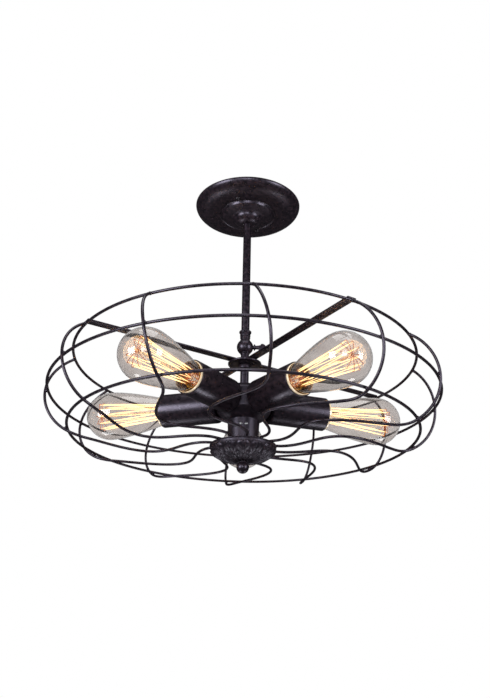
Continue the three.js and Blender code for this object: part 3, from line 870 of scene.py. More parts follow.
# ---------------------------------------------------------------- canopy and stem
@dataclass
class Canopy:
    """The saucer that covers the ceiling box, its bell and its two screws."""

    enamel: Finish
    plate: Finish
    wall: float = 1.2 * MM
    saucer_depth: float = 13 * MM
    edge_width: float = 26 * MM
    bell_radius: float = 36.5 * MM
    bell_step: float = 3 * MM
    bell_slope: float = 3 * MM
    dome_radius: float = 20 * MM
    groove: float = 1.0 * MM
    stem_gap: float = 0.3 * MM
    screw_hole: float = 2.3 * MM
    screw_head: float = 2.2 * MM
    slot_width: float = 0.9 * MM
    slot_depth: float = 1.1 * MM
    slot_turn: float = 0.7

    def side(self, inset: float) -> Outline:
        """Gives the canopy's section from its rim to the stem, at a distance in from its outer face.

        Args:
            inset: The distance in, 0 outside and the wall inside.

        Returns:
            The outline.
        """
        size = Extent.of("canopy")
        hole = Extent.of("stem_tube").radius + self.stem_gap
        flat = inset - self.saucer_depth
        bead = self.bell_radius - inset
        foot = flat - self.bell_step - self.bell_slope
        end = size.low + inset
        edge = arc((size.radius - self.edge_width, 0), (self.edge_width - inset, -flat), 0, -82, 22)
        corners = rounded([
            (size.radius - self.edge_width, flat, 0), (bead + 4 * MM, flat, 2 * MM),
            (bead + 1.6 * MM, flat + self.groove, 1.2 * MM), (bead, flat + 0.4 * MM, 0.6 * MM),
            (bead - 1.1 * MM, flat - self.bell_step, 1.2 * MM),
            (self.dome_radius + 3 * MM, foot + 0.8 * MM, 3 * MM), (self.dome_radius - inset, foot, 0),
        ], closed=False, steps=6)
        dome = arc((hole, foot), (self.dome_radius - inset - hole, end - foot), 0, 78, 14)
        return edge + corners[:-1] + dome + [(hole, end)]

    def build(self) -> None:
        """Builds and dresses the canopy and its screws."""
        outline = self.side(0.0) + self.side(self.wall)[::-1]
        shell = revolve("canopy_shell", outline, 160, FINE_CREASE_DEG)
        for number in (1, 2):
            centre = sum(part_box(f"canopy_screw_{number}"), Vector()) / 2
            place = Matrix.Translation((centre.x, centre.y, 0))
            drill = [(0, -20 * MM), (self.screw_hole, -20 * MM), (self.screw_hole, MM), (0, MM)]
            combine(shell, move(revolve("drill", drill, 24), place), "DIFFERENCE")
            self.build_screw(number, place)
        smooth(shell, FINE_CREASE_DEG)
        dress(shell, self.enamel, Body.CEILING_MOUNT.value, "canopy")

    def build_screw(self, number: int, place: Matrix) -> None:
        """Builds one pan-head screw with a slot.

        Args:
            number: Which screw it is.
            place: Where its axis stands.
        """
        low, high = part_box(f"canopy_screw_{number}")
        radius = (high.x - low.x) / 2
        seat = low.z + self.screw_head
        dome = arc((0, seat), (radius, self.screw_head), -90, 0, 8)
        shank = [(2 * MM, seat), (2 * MM, high.z - 0.4 * MM), (1.6 * MM, high.z), (0, high.z)]
        screw = revolve(f"canopy_machine_screw_{number}", dome + shank, 40)
        slot_low = Vector((-radius * 1.2, -self.slot_width / 2, low.z - MM))
        slot_high = Vector((radius * 1.2, self.slot_width / 2, low.z + self.slot_depth))
        combine(screw, box_solid("slot", slot_low, slot_high), "DIFFERENCE")
        move(screw, place @ Matrix.Rotation(self.slot_turn * number, 4, "Z"))
        smooth(screw, FINE_CREASE_DEG)
        dress(screw, self.plate, Body.CEILING_MOUNT.value, f"canopy_screw_{number}")


@dataclass
class Stem:
    """The tube from the canopy to the swivel, the coupling at its end, and the nipple inside it."""

    enamel: Finish
    plate: Finish
    wall: float = 1 * MM
    flange_height: float = 2.6 * MM
    coupling_play: float = 0.05 * MM
    nipple_wall: float = 1.1 * MM
    thread_pitch: float = 1.4 * MM
    thread_depth: float = 0.4 * MM
    rows_per_turn: int = 8

    def build(self) -> None:
        """Builds and dresses the tube, the coupling, the nipple and the crossbar."""
        tube = Extent.of("stem_tube")
        inside = tube.radius - self.wall
        corners = [(inside, tube.low), (tube.radius, tube.low), (tube.radius, tube.high), (inside, tube.high)]
        outline = rounded([(r, z, 0.3 * MM) for r, z in corners])
        dress(revolve("stem_pipe", outline, 48), self.enamel, Body.CEILING_MOUNT.value, "stem_tube")
        self.build_coupling(tube.radius)
        self.build_nipple()
        crossbar = frame["nodes"]["ceiling_crossbar"]
        crossbar.data.materials.clear()
        crossbar.data.materials.append(self.plate.material())

    def build_coupling(self, stem_radius: float) -> None:
        """Builds the coupling: a sleeve with a rounded flange and a turned groove.

        Args:
            stem_radius: The radius of the tube that it holds.
        """
        size = Extent.of("stem_collar")
        bore = stem_radius + self.coupling_play
        neck = size.radius - 1.2 * MM
        flange = size.high - self.flange_height
        outline = rounded([
            (bore, size.low, 0.2 * MM), (neck, size.low, 0.5 * MM), (neck, flange - 1.4 * MM, 0.3 * MM),
            (neck - 0.5 * MM, flange - 1.0 * MM, 0.2 * MM), (neck, flange - 0.6 * MM, 0.2 * MM),
            (neck, flange, 0.3 * MM), (size.radius, flange + 0.1 * MM, 0.9 * MM),
            (size.radius, size.high - 0.4 * MM, 0.9 * MM), (bore + 0.6 * MM, size.high, 0.4 * MM),
            (bore, size.high - 0.2 * MM, 0.1 * MM),
        ])
        dress(revolve("stem_coupling", outline, 64), self.enamel, Body.CEILING_MOUNT.value, "stem_collar")

    def build_nipple(self) -> None:
        """Builds the threaded nipple that joins the stem to the crossbar."""
        size = Extent.of("stem_nipple")
        bore = size.radius - self.nipple_wall
        turns = (size.high - size.low) / self.thread_pitch
        rows = int(turns * self.rows_per_turn)

        def point(row: int, angle: float) -> Vector:
            """Gives a point on the threaded outside, or on the bore for the last two rows."""
            if row >= rows:
                height = size.high if row == rows else size.low
                return Vector((bore * math.cos(angle), bore * math.sin(angle), height))
            share = row / (rows - 1)
            phase = share * turns * TURN - angle
            end_fade = min(1.0, 12 * share, 12 * (1 - share))
            radius = size.radius - self.thread_depth * end_fade * (0.5 + 0.5 * math.cos(phase))
            height = size.low + share * (size.high - size.low)
            return Vector((radius * math.cos(angle), radius * math.sin(angle), height))

        nipple = surface_of("threaded_nipple", rows + 2, 32, point, True, 50.0)
        dress(nipple, self.plate, Body.CEILING_MOUNT.value, "stem_nipple")


# ---------------------------------------------------------------- swivel
@dataclass
class Swivel:
    """The knuckle that lets the cage tilt: two half balls side by side and a spade-headed thumb screw."""

    enamel: Finish
    seam: float = 0.15 * MM
    neck_length: float = 4 * MM
    upper_neck: float = 6.8 * MM
    lower_neck: float = 6.5 * MM
    stem_plug: float = 5.4 * MM
    shank: float = 2.6 * MM
    spade_start: float = 16.5 * MM
    spade_thickness: float = 4 * MM
    crown_deg: float = 105.0
    centre: Vector = field(init=False)
    radius: float = field(init=False)

    def __post_init__(self) -> None:
        """Reads the pin's place and the ball's radius from the frame."""
        self.centre = Vector(joint("knuckle_tilt")["pos_m"])
        low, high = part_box("knuckle_upper_half")
        self.radius = (high.y - low.y) / 2

    def half_ball(self, name: str, side: int) -> Piece:
        """Makes the half of the ball on one side of the seam.

        Args:
            name: The piece's name.
            side: -1 for the left half and 1 for the right half.

        Returns:
            The half ball, round the origin.
        """
        ball = revolve(name, arc((0, 0), (self.radius, self.radius), -90, 90, 40), 72)
        reach = 2 * self.radius
        low = Vector((self.seam if side > 0 else -reach, -reach, -reach))
        high = Vector((reach if side > 0 else -self.seam, reach, reach))
        combine(ball, box_solid("room", low, high), "INTERSECT")
        return ball

    def build(self) -> None:
        """Builds and dresses both halves and the thumb screw."""
        self.build_upper()
        self.build_lower()
        self.build_thumb_screw()

    def build_upper(self) -> None:
        """Builds the half that the stem holds, with its stepped neck."""
        top = Extent.of("knuckle_upper_half").high - self.centre.z
        shoulder = self.radius + self.neck_length
        waist = self.upper_neck - 1.1 * MM
        neck = rounded([
            (0, self.radius * 0.5, 0), (self.upper_neck, self.radius * 0.5, 0),
            (self.upper_neck, self.radius * 0.88, 0.4 * MM), (waist, self.radius * 1.02, 0.6 * MM),
            (self.upper_neck, shoulder - 2.2 * MM, 0.6 * MM), (self.upper_neck, shoulder, 0.4 * MM),
            (self.stem_plug, shoulder, 0), (self.stem_plug, top, 0), (0, top, 0),
        ], closed=False)
        half = self.half_ball("swivel_upper_half", -1)
        combine(half, revolve("neck", neck, 48), "UNION")
        self.finish_half(half, Body.CEILING_MOUNT.value, "knuckle_upper_half")

    def build_lower(self) -> None:
        """Builds the half that the cage hangs from, with its neck down to the hub plate."""
        bottom = Extent.of("knuckle_lower_half").low - self.centre.z
        waist = self.lower_neck - 1.0 * MM
        neck = rounded([
            (0, bottom, 0), (self.lower_neck, bottom, 0.4 * MM), (self.lower_neck, bottom + 4 * MM, 0.6 * MM),
            (waist, bottom + 5.5 * MM, 0.6 * MM), (waist, -self.radius * 1.02, 0.6 * MM),
            (self.lower_neck, -self.radius * 0.88, 0.4 * MM), (self.lower_neck, -self.radius * 0.5, 0),
            (0, -self.radius * 0.5, 0),
        ], closed=False)
        half = self.half_ball("swivel_lower_half", 1)
        combine(half, revolve("neck", neck, 48), "UNION")
        self.finish_half(half, Body.CAGE.value, "knuckle_lower_half")

    def finish_half(self, half: Piece, body: str, node: str) -> None:
        """Rounds a half's seam edge, puts it in place and dresses it.

        Args:
            half: The half, round the origin.
            body: The body that it rides on.
            node: The CAD node that it stands for.
        """
        soften(half, 0.35 * MM, 2, 50.0)
        dress(move(half, Matrix.Translation(self.centre)), self.enamel, body, node)

    def build_thumb_screw(self) -> None:
        """Builds the screw: a shank along X, a shoulder and a flat spade to turn it by."""
        low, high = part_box("knuckle_thumb_screw")
        shank, seat = self.shank, self.radius
        half = (high.z - low.z) / 2
        outline = rounded([
            (0, low.x, 0), (shank - 0.5 * MM, low.x, 0), (shank, low.x + 0.5 * MM, 0),
            (shank, seat + 0.6 * MM, 0.2 * MM), (shank + 1.6 * MM, seat + 0.7 * MM, 0.4 * MM),
            (shank + 1.6 * MM, seat + 2.4 * MM, 0.4 * MM), (shank, seat + 2.8 * MM, 0.4 * MM),
            (shank, self.spade_start + 2 * MM, 0), (0, self.spade_start + 3 * MM, 0),
        ], closed=False)
        screw = revolve("thumb_screw_spade", outline, 32)
        crown = arc((high.x - half, 0), (half, half), -self.crown_deg, self.crown_deg, 18)
        waist = [
            (self.spade_start + 4 * MM, half * 0.62), (self.spade_start + 1.5 * MM, shank),
            (self.spade_start - MM, shank * 0.9),
        ]
        edge = [(x, -z) for x, z in waist[::-1]] + crown + waist
        mesh = bmesh.new()
        rows = []
        for level in (-0.5, 0.5):
            rows.append([mesh.verts.new((-z, level * self.spade_thickness, x)) for x, z in edge])
            mesh.faces.new(rows[-1])
        bridge(mesh, *rows)
        spade = mesh_object("spade", mesh)
        soften(spade, 1.1 * MM, 4, 50.0)
        combine(screw, spade, "UNION")
        smooth(screw, CREASE_DEG)
        move(screw, Matrix.Translation((0, 0, self.centre.z)) @ Matrix.Rotation(QUARTER, 4, "Y"))
        dress(screw, self.enamel, Body.THUMB_SCREW.value, "knuckle_thumb_screw")


# ---------------------------------------------------------------- guard cage
@dataclass
class GuardCage:
    """The wire guard: three rings, twelve spokes that sweep in under the cage, the hub plate and its strips."""

    enamel: Finish
    wire: float = 1.8 * MM
    gap: float = 0.3 * MM
    spokes: int = 12
    first_azimuth: float = math.radians(1.8)
    lean: float = math.radians(4.5)
    swirl: float = math.radians(25.5)
    swirl_skew: float = 1.36
    swirl_shape: float = 1.5
    swirl_end: float = 46 * MM
    spoke_end: float = 34 * MM
    strips: int = 4
    strip_azimuth: float = math.radians(31.8)
    strip_width: float = 12 * MM
    strip_start: float = 9 * MM
    strip_overlap: float = 0.6 * MM
    hub_bore: float = 4.4 * MM
    weld: float = 2.3 * MM
    weld_squeeze: float = 1.15
    side_steps: int = 36
    floor_steps: int = 72
    centre_z: float = field(init=False)
    arc_radius: float = field(init=False)
    arc_centre: float = field(init=False)
    top: Extent = field(init=False)
    bottom: Extent = field(init=False)

    def __post_init__(self) -> None:
        """Reads the rings' places from the frame and works out the spokes' arc."""
        middle = Extent.of("ring_middle")
        self.top, self.bottom = Extent.of("ring_top"), Extent.of("ring_bottom")
        self.centre_z = (middle.low + middle.high) / 2
        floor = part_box("spoke_01")[0].z + self.wire
        self.arc_radius = self.centre_z - floor
        self.arc_centre = middle.radius + self.wire + self.gap - self.arc_radius

    def ring(self, name: str, node: str) -> None:
        """Builds one ring of wire.

        Args:
            name: The piece's name.
            node: The CAD ring that it stands for.
        """
        size = Extent.of(node)
        middle = (size.low + size.high) / 2
        outline = arc((size.radius - self.wire, middle), (self.wire, self.wire), 0, 360, 16)[:-1]
        dress(revolve(name, outline, 240), self.enamel, Body.CAGE.value, node)

    def ring_height(self, size: Extent) -> float:
        """Gives a ring's height above the middle ring."""
        return (size.low + size.high) / 2 - self.centre_z

    def spoke_azimuth(self, base: float, radius: float, height: float) -> float:
        """Gives a spoke's azimuth where it passes a radius and a height.

        Args:
            base: Its azimuth at the top ring.
            radius: The radius of the point.
            height: Its height above the middle ring.

        Returns:
            The azimuth in radians.
        """
        top, bottom = self.ring_height(self.top), self.ring_height(self.bottom)
        down = min(max((top - height) / (top - bottom), 0.0), 1.0)
        azimuth = base + self.lean * (1 - (1 - down) ** 2)
        if height >= 0:
            return azimuth
        outer = self.bottom.radius - self.wire
        inward = min(max((outer - radius) / (outer - self.swirl_end), 0.0), 1.0)
        return azimuth - self.swirl * abs(math.sin(math.pi * inward**self.swirl_skew)) ** self.swirl_shape

    def spoke_path(self, base: float) -> list[Vector]:
        """Gives the middle line of a spoke, from the top ring round the side and in along the floor.

        Args:
            base: The spoke's azimuth at the top ring.

        Returns:
            The points.
        """
        start = math.asin(self.ring_height(self.top) / self.arc_radius) - (2 * self.wire) / self.arc_radius
        points = []
        for i in range(self.side_steps + 1):
            angle = start + (-QUARTER - start) * i / self.side_steps
            radius = self.arc_centre + self.arc_radius * math.cos(angle)
            height = self.arc_radius * math.sin(angle)
            points.append(around(radius, self.spoke_azimuth(base, radius, height), self.centre_z + height))
        for i in range(1, self.floor_steps + 1):
            radius = self.arc_centre + (self.spoke_end - self.arc_centre) * i / self.floor_steps
            azimuth = self.spoke_azimuth(base, radius, -self.arc_radius)
            points.append(around(radius, azimuth, self.centre_z - self.arc_radius))
        return points

    def build(self) -> None:
        """Builds and dresses the rings, the spokes, the welds, the hub plate and the strips."""
        for name in RINGS:
            self.ring(f"guard_ring_{name}", f"ring_{name}")
        paths = []
        for i in range(self.spokes):
            path = self.spoke_path(self.first_azimuth + TURN * i / self.spokes)
            paths.append(path)
            spoke = sweep(f"guard_spoke_{i + 1:02d}", path, self.wire)
            dress(spoke, self.enamel, Body.CAGE.value, f"spoke_{i + 1:02d}")
        for name in RINGS:
            self.build_welds(f"guard_welds_{name}", Extent.of(f"ring_{name}"), paths)
        self.build_hub()

    def build_welds(self, name: str, size: Extent, paths: list[list[Vector]]) -> None:
        """Builds the weld beads where the spokes cross one ring.

        Args:
            name: The piece's name.
            size: The ring's extent.
            paths: The spokes' middle lines.
        """
        ring_radius = size.radius - self.wire
        height = (size.low + size.high) / 2
        mesh = bmesh.new()
        for path in paths:
            side = path[: self.side_steps + 4]
            crossing = min(side, key=lambda p: (p.xy.length - ring_radius) ** 2 + (p.z - height) ** 2)
            on_ring = Vector((*(crossing.xy.normalized() * ring_radius), height))
            middle = (crossing + on_ring) / 2
            tangent = Vector((-on_ring.y, on_ring.x, 0)).normalized()
            outward = (crossing - on_ring).normalized()
            other = tangent.cross(outward)
            squeeze = (self.weld, self.wire * self.weld_squeeze, self.weld)
            for vertex in bmesh.ops.create_icosphere(mesh, subdivisions=2, radius=1.0)["verts"]:
                x, y, z = (c * s for c, s in zip(vertex.co, squeeze))
                vertex.co = middle + tangent * x + outward * y + other * z
        dress(mesh_object(name, mesh, 70.0), self.enamel, Body.CAGE.value)

    def build_hub(self) -> None:
        """Builds the hub plate and the flat strips that carry the top ring."""
        size = Extent.of("hub_plate")
        outline = rounded([
            (self.hub_bore, size.low, 0), (size.radius - 0.2 * MM, size.low, 0.8 * MM),
            (size.radius, size.high, 0.6 * MM), (self.hub_bore, size.high, 0),
        ])
        dress(revolve("hub_disc", outline, 96), self.enamel, Body.CAGE.value, "hub_plate")
        low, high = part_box("strip_1")
        end = self.top.radius - self.wire + self.strip_overlap
        for i in range(self.strips):
            corner = Vector((-self.strip_width / 2, -end, low.z))
            far_corner = Vector((self.strip_width / 2, -self.strip_start, high.z))
            strip = box_solid(f"flat_strip_{i + 1}", corner, far_corner)
            soften(strip, 0.6 * MM, 3)
            turn = Matrix.Rotation(self.strip_azimuth + TURN * i / self.strips, 4, "Z")
            dress(move(strip, turn), self.enamel, Body.CAGE.value, f"strip_{i + 1}")


# ---------------------------------------------------------------- lamp cluster
@dataclass
class LampCluster:
    """The rod, the five-sided body that the cups screw to, its neck, the embossed bowl and the finial."""

    enamel: Finish
    casting: Finish
    plate: Finish
    lamps: int = 5
    first_azimuth: float = math.radians(36)
    leaves: int = 14
    leaf_height: float = 2.2 * MM
    bowl_wall: float = 1.4 * MM
    bowl_rows: int = 44
    stud: float = 4.2 * MM
    rod: float = 5.6 * MM
    collar_height: float = 5 * MM
    neck: float = 19.75 * MM
    play: float = 0.3 * MM
    screw_head: float = 1.8 * MM
    screw_shank: float = 0.8 * MM
    screw_spread: float = 3.3 * MM
    screw_rise: float = 5 * MM

    def build(self) -> None:
        """Builds and dresses every piece of the cluster."""
        self.build_rod()
        self.build_body()
        self.build_collector()
        self.build_bowl()
        self.build_finial()

    def build_rod(self) -> None:
        """Builds the rod with its collar and its threaded ends."""
        low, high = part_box("lower_rod")
        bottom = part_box("lamp_cluster")[1].z + self.play
        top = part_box("hub_plate")[0].z - self.play
        collar, foot = high.x, top - self.collar_height
        outline = rounded([
            (0, low.z, 0), (self.stud, low.z, 0.3 * MM), (self.stud, bottom, 0),
            (self.rod, bottom, 0.4 * MM), (self.rod, foot - 1.2 * MM, 0.3 * MM),
            (self.rod + 0.9 * MM, foot - 0.6 * MM, 0.3 * MM), (collar, foot, 0.8 * MM),
            (collar, top, 0.8 * MM), (self.stud, top, 0), (self.stud, high.z, 0.3 * MM), (0, high.z, 0),
        ], closed=False)
        dress(revolve("cluster_rod", outline, 48), self.enamel, Body.CAGE.value, "lower_rod")

    def build_body(self) -> None:
        """Builds the body with a flat for each cup, its neck and the neck's two set screws."""
        size = Extent.of("lamp_cluster")
        lamp_z = joint("bulb_1_turn")["pos_m"][2]
        bottom, high = size.low - lamp_z, size.high - lamp_z
        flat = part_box("socket_cup_3")[0].y - self.play
        radius = flat + 2 * MM
        bore = self.stud + self.play
        outline = rounded([
            (bore, bottom, 0), (self.neck, bottom, 0.6 * MM), (self.neck, -high - 4 * MM, 2 * MM),
            (radius - 8 * MM, -high, 2.5 * MM), (radius, -high + 7 * MM, 5 * MM),
            (radius, high - 7 * MM, 5 * MM), (radius - 9 * MM, high, 3 * MM), (bore, high, 0),
        ], steps=6)
        body = revolve("cluster_body", outline, 120)
        reach = 3 * radius
        for i in range(self.lamps):
            tool = box_solid("flat", Vector((-reach, -reach, -reach)), Vector((reach, -flat, reach)))
            turn = Matrix.Rotation(self.first_azimuth + TURN * i / self.lamps, 4, "Z")
            combine(body, move(tool, turn), "DIFFERENCE")
        soften(body, 0.8 * MM, 3, 28.0)
        move(body, Matrix.Translation((0, 0, lamp_z)))
        dress(body, self.casting, Body.CAGE.value, "lamp_cluster")
        self.build_set_screws((size.low + lamp_z - high) / 2 + self.screw_rise)

    def build_set_screws(self, height: float) -> None:
        """Builds the two small round-headed screws side by side in the neck's front.

        Args:
            height: The height of the screws.
        """
        head, shank = self.screw_head, self.screw_shank
        outline = arc((0, 0), (head, 1.2 * MM), 90, 0, 8)
        outline += [(head, -0.4 * MM), (shank, -0.5 * MM), (shank, -2.5 * MM), (0, -2.5 * MM)]
        for number, side in ((1, -1), (2, 1)):
            screw = revolve(f"neck_set_screw_{number}", outline, 28)
            slot = box_solid("slot", Vector((-2 * MM, -0.2 * MM, 0.6 * MM)), Vector((2 * MM, 0.2 * MM, 2 * MM)))
            combine(screw, slot, "DIFFERENCE")
            azimuth = side * self.screw_spread / self.neck
            tilt = Matrix.Rotation(azimuth, 4, "Z") @ Matrix.Rotation(QUARTER, 4, "X")
            move(screw, Matrix.Translation(around(self.neck + self.play, azimuth, height)) @ tilt)
            dress(screw, self.plate, Body.CAGE.value)

    def build_collector(self) -> None:
        """Builds the plate that the spokes' inner ends lie on, with a rolled edge."""
        size = Extent.of("spoke_collector")
        bore = self.stud + self.play
        outline = rounded([
            (bore, size.low, 0), (size.radius - 0.4 * MM, size.low, 0.4 * MM),
            (size.radius, size.high - 0.5 * MM, 0.5 * MM), (size.radius - 1.2 * MM, size.high, 0.5 * MM),
            (bore, size.high, 0),
        ])
        dress(revolve("spoke_collector_plate", outline, 128), self.enamel, Body.CAGE.value, "spoke_collector")

    def relief(self, angle: float, share: float) -> float:
        """Gives how far the leaves stand out of the bowl.

        Args:
            angle: The angle round the bowl.
            share: The place down the bowl, 0 at its rim and 1 at the finial.

        Returns:
            The height of the relief in metres.
        """
        height = 0.0
        for first, last, offset, scale in ((0.1, 0.66, 0.0, 1.0), (0.5, 0.98, 0.5, 0.75)):
            along = (share - first) / (last - first)
            if not 0 < along < 1:
                continue
            across = (angle * self.leaves / TURN + offset) % 1.0 - 0.5
            width = 0.47 * math.sin(math.pi * along**0.75) ** 0.8
            if abs(across) >= width:
                continue
            dome = math.cos(QUARTER * across / width) ** 0.7
            vein = 0.35 * math.exp(-((across / 0.07) ** 2))
            ribs = 0.12 * math.cos(TURN * (3.2 * along + 4.5 * abs(across)))
            height = max(height, scale * self.leaf_height * (dome * (0.8 + ribs) - vein * dome))
        return height

    def build_bowl(self) -> None:
        """Builds the shallow bowl with two rows of embossed leaves."""
        size = Extent.of("rosette_bowl")
        hole = self.stud + self.play
        depth = size.high - size.low
        rows = self.bowl_rows

        def point(row: int, angle: float) -> Vector:
            """Gives a point on the outside for the first rows, and on the inside on the way back."""
            outside = row <= rows
            share = (row if outside else 2 * rows + 1 - row) / rows
            inset = 0.0 if outside else self.bowl_wall
            slope = share * QUARTER
            radius = hole + (size.radius - hole - inset) * math.cos(slope)
            height = size.high - (depth - inset) * math.sin(slope)
            lift = self.relief(angle, share) - 0.4 * MM if outside and 0 < share < 1 else 0.0
            radius += lift * math.cos(slope)
            height -= lift * math.sin(slope)
            return Vector((radius * math.cos(angle), radius * math.sin(angle), height))

        bowl = surface_of("leaf_bowl", 2 * rows + 2, 280, point, True, 60.0)
        dress(bowl, self.casting, Body.CAGE.value, "rosette_bowl")

    def build_finial(self) -> None:
        """Builds the ball finial with a small collar under the bowl."""
        size = Extent.of("ball_finial")
        radius, centre = size.radius, size.low + size.radius
        ball = arc((0, centre), (radius, radius), -90, 58, 30)
        collar = rounded([
            (radius * 0.5, centre + radius * 0.84, 0), (radius * 0.66, size.high - 0.9 * MM, 0.3 * MM),
            (radius * 0.66, size.high, 0.3 * MM), (0, size.high, 0),
        ], closed=False)
        dress(revolve("finial_ball", ball + collar, 72), self.enamel, Body.CAGE.value, "ball_finial")


# ---------------------------------------------------------------- lamps
@dataclass(frozen=True)
class Arm:
    """Where one lamp's axis lies: its own +Z runs outward along it."""

    number: int
    place: Matrix

    @classmethod
    def of(cls, number: int) -> Arm:
        """Reads the arm's axis from its lamp's joint.

        Args:
            number: The lamp's number.

        Returns:
            The arm.
        """
        pivot = joint(f"bulb_{number}_turn")
        azimuth = math.atan2(pivot["axis"][0], -pivot["axis"][1])
        turn = Matrix.Rotation(azimuth, 4, "Z") @ Matrix.Rotation(QUARTER, 4, "X")
        return cls(number, Matrix.Translation((0, 0, pivot["pos_m"][2])) @ turn)


@dataclass(frozen=True)
class Reach:
    """How far a lamp's CAD node reaches along its axis, and its radius."""

    start: float
    end: float
    radius: float

    @classmethod
    def of(cls, family: str) -> Reach:
        """Measures the node on the arm that points along +Y.

        Args:
            family: The nodes' name without the number.

        Returns:
            The node's reach.
        """
        low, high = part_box(f"{family}_3")
        return cls(low.y, high.y, max((high.x - low.x) / 2, (high.z - low.z) / 2))


@dataclass
class SocketArm:
    """One socket cup with the porcelain lampholder and its brass shell inside."""

    arm: Arm
    enamel: Finish
    porcelain: Finish
    brass: Finish
    cup_wall: float = 1.4 * MM
    wire_hole: float = 5.3 * MM
    cap_bore: float = 14 * MM
    cap_depth: float = 24 * MM
    flange: float = 4 * MM
    sheet: float = 0.35 * MM
    rim_width: float = 0.75 * MM
    rim_reach: float = 14.6 * MM
    dish: float = 3.2 * MM

    def build(self) -> None:
        """Builds and dresses the cup, the lampholder and the shell."""
        holder = Reach.of("lampholder")
        self.build_cup(Reach.of("socket_cup"))
        self.build_holder(holder)
        self.build_shell(holder)

    def build_cup(self, size: Reach) -> None:
        """Builds the cup: a drawn tube with a rounded back and a rolled mouth.

        Args:
            size: The CAD cup's reach.
        """
        inside = size.radius - self.cup_wall
        back = size.start + 2 * MM
        outline = rounded([
            (self.wire_hole, size.start, 0), (size.radius, size.start, 4 * MM),
            (size.radius, size.end - 0.2 * MM, 0.7 * MM), (inside, size.end, 0.6 * MM),
            (inside, back, 2.5 * MM), (self.wire_hole, back, 0),
        ], steps=8)
        cup = move(revolve(f"lamp_cup_{self.arm.number}", outline, 96), self.arm.place)
        dress(cup, self.enamel, Body.CAGE.value, f"socket_cup_{self.arm.number}")

    def build_holder(self, size: Reach) -> None:
        """Builds the porcelain: a body, and a flange whose rim reaches forward past the cup's mouth.

        Args:
            size: The CAD lampholder's reach.
        """
        body = self.cap_bore + 3 * MM
        bore = self.cap_bore + 0.4 * MM
        inner_rim = size.radius - self.rim_width
        mouth = size.end + self.rim_reach
        face = size.end - self.dish
        back, floor = size.end - self.flange, size.end - self.cap_depth
        outline = rounded([
            (0, size.start, 0), (body, size.start, 1.5 * MM), (body, back, 0.4 * MM),
            (size.radius, back, 0.5 * MM), (size.radius, mouth, 0.6 * MM), (inner_rim, mouth, 0.6 * MM),
            (inner_rim - 0.1 * MM, face, 0.4 * MM), (bore, face, 0.3 * MM), (bore, floor, 0), (0, floor, 0),
        ], closed=False, steps=5)
        holder = move(revolve(f"porcelain_holder_{self.arm.number}", outline, 96), self.arm.place)
        dress(holder, self.porcelain, Body.CAGE.value, f"lampholder_{self.arm.number}")

    def build_shell(self, size: Reach) -> None:
        """Builds the brass shell that the cap screws into, and its lip, which flares round the bulb's neck.

        Args:
            size: The CAD lampholder's reach.
        """
        foot = size.end - self.cap_depth + 0.5 * MM
        bore = self.cap_bore - 0.1 * MM
        lip = size.radius - self.rim_width - 0.3 * MM
        outer = [
            (bore, foot, 0), (bore, size.end - MM, 0.8 * MM), (bore + 1.1 * MM, size.end + MM, 0.6 * MM),
            (bore + 1.5 * MM, size.end + 5.2 * MM, 1.5 * MM), (lip - 0.5 * MM, size.end + 9.6 * MM, 1.5 * MM),
            (lip, size.end + 12 * MM, 0.1 * MM),
        ]
        inner = [(r - self.sheet, z + 0.1 * MM, b) for r, z, b in outer[1:]][::-1]
        outline = rounded(outer + inner + [(bore - self.sheet, foot, 0)])
        shell = move(revolve(f"brass_shell_{self.arm.number}", outline, 96), self.arm.place)
        dress(shell, self.brass, Body.CAGE.value)


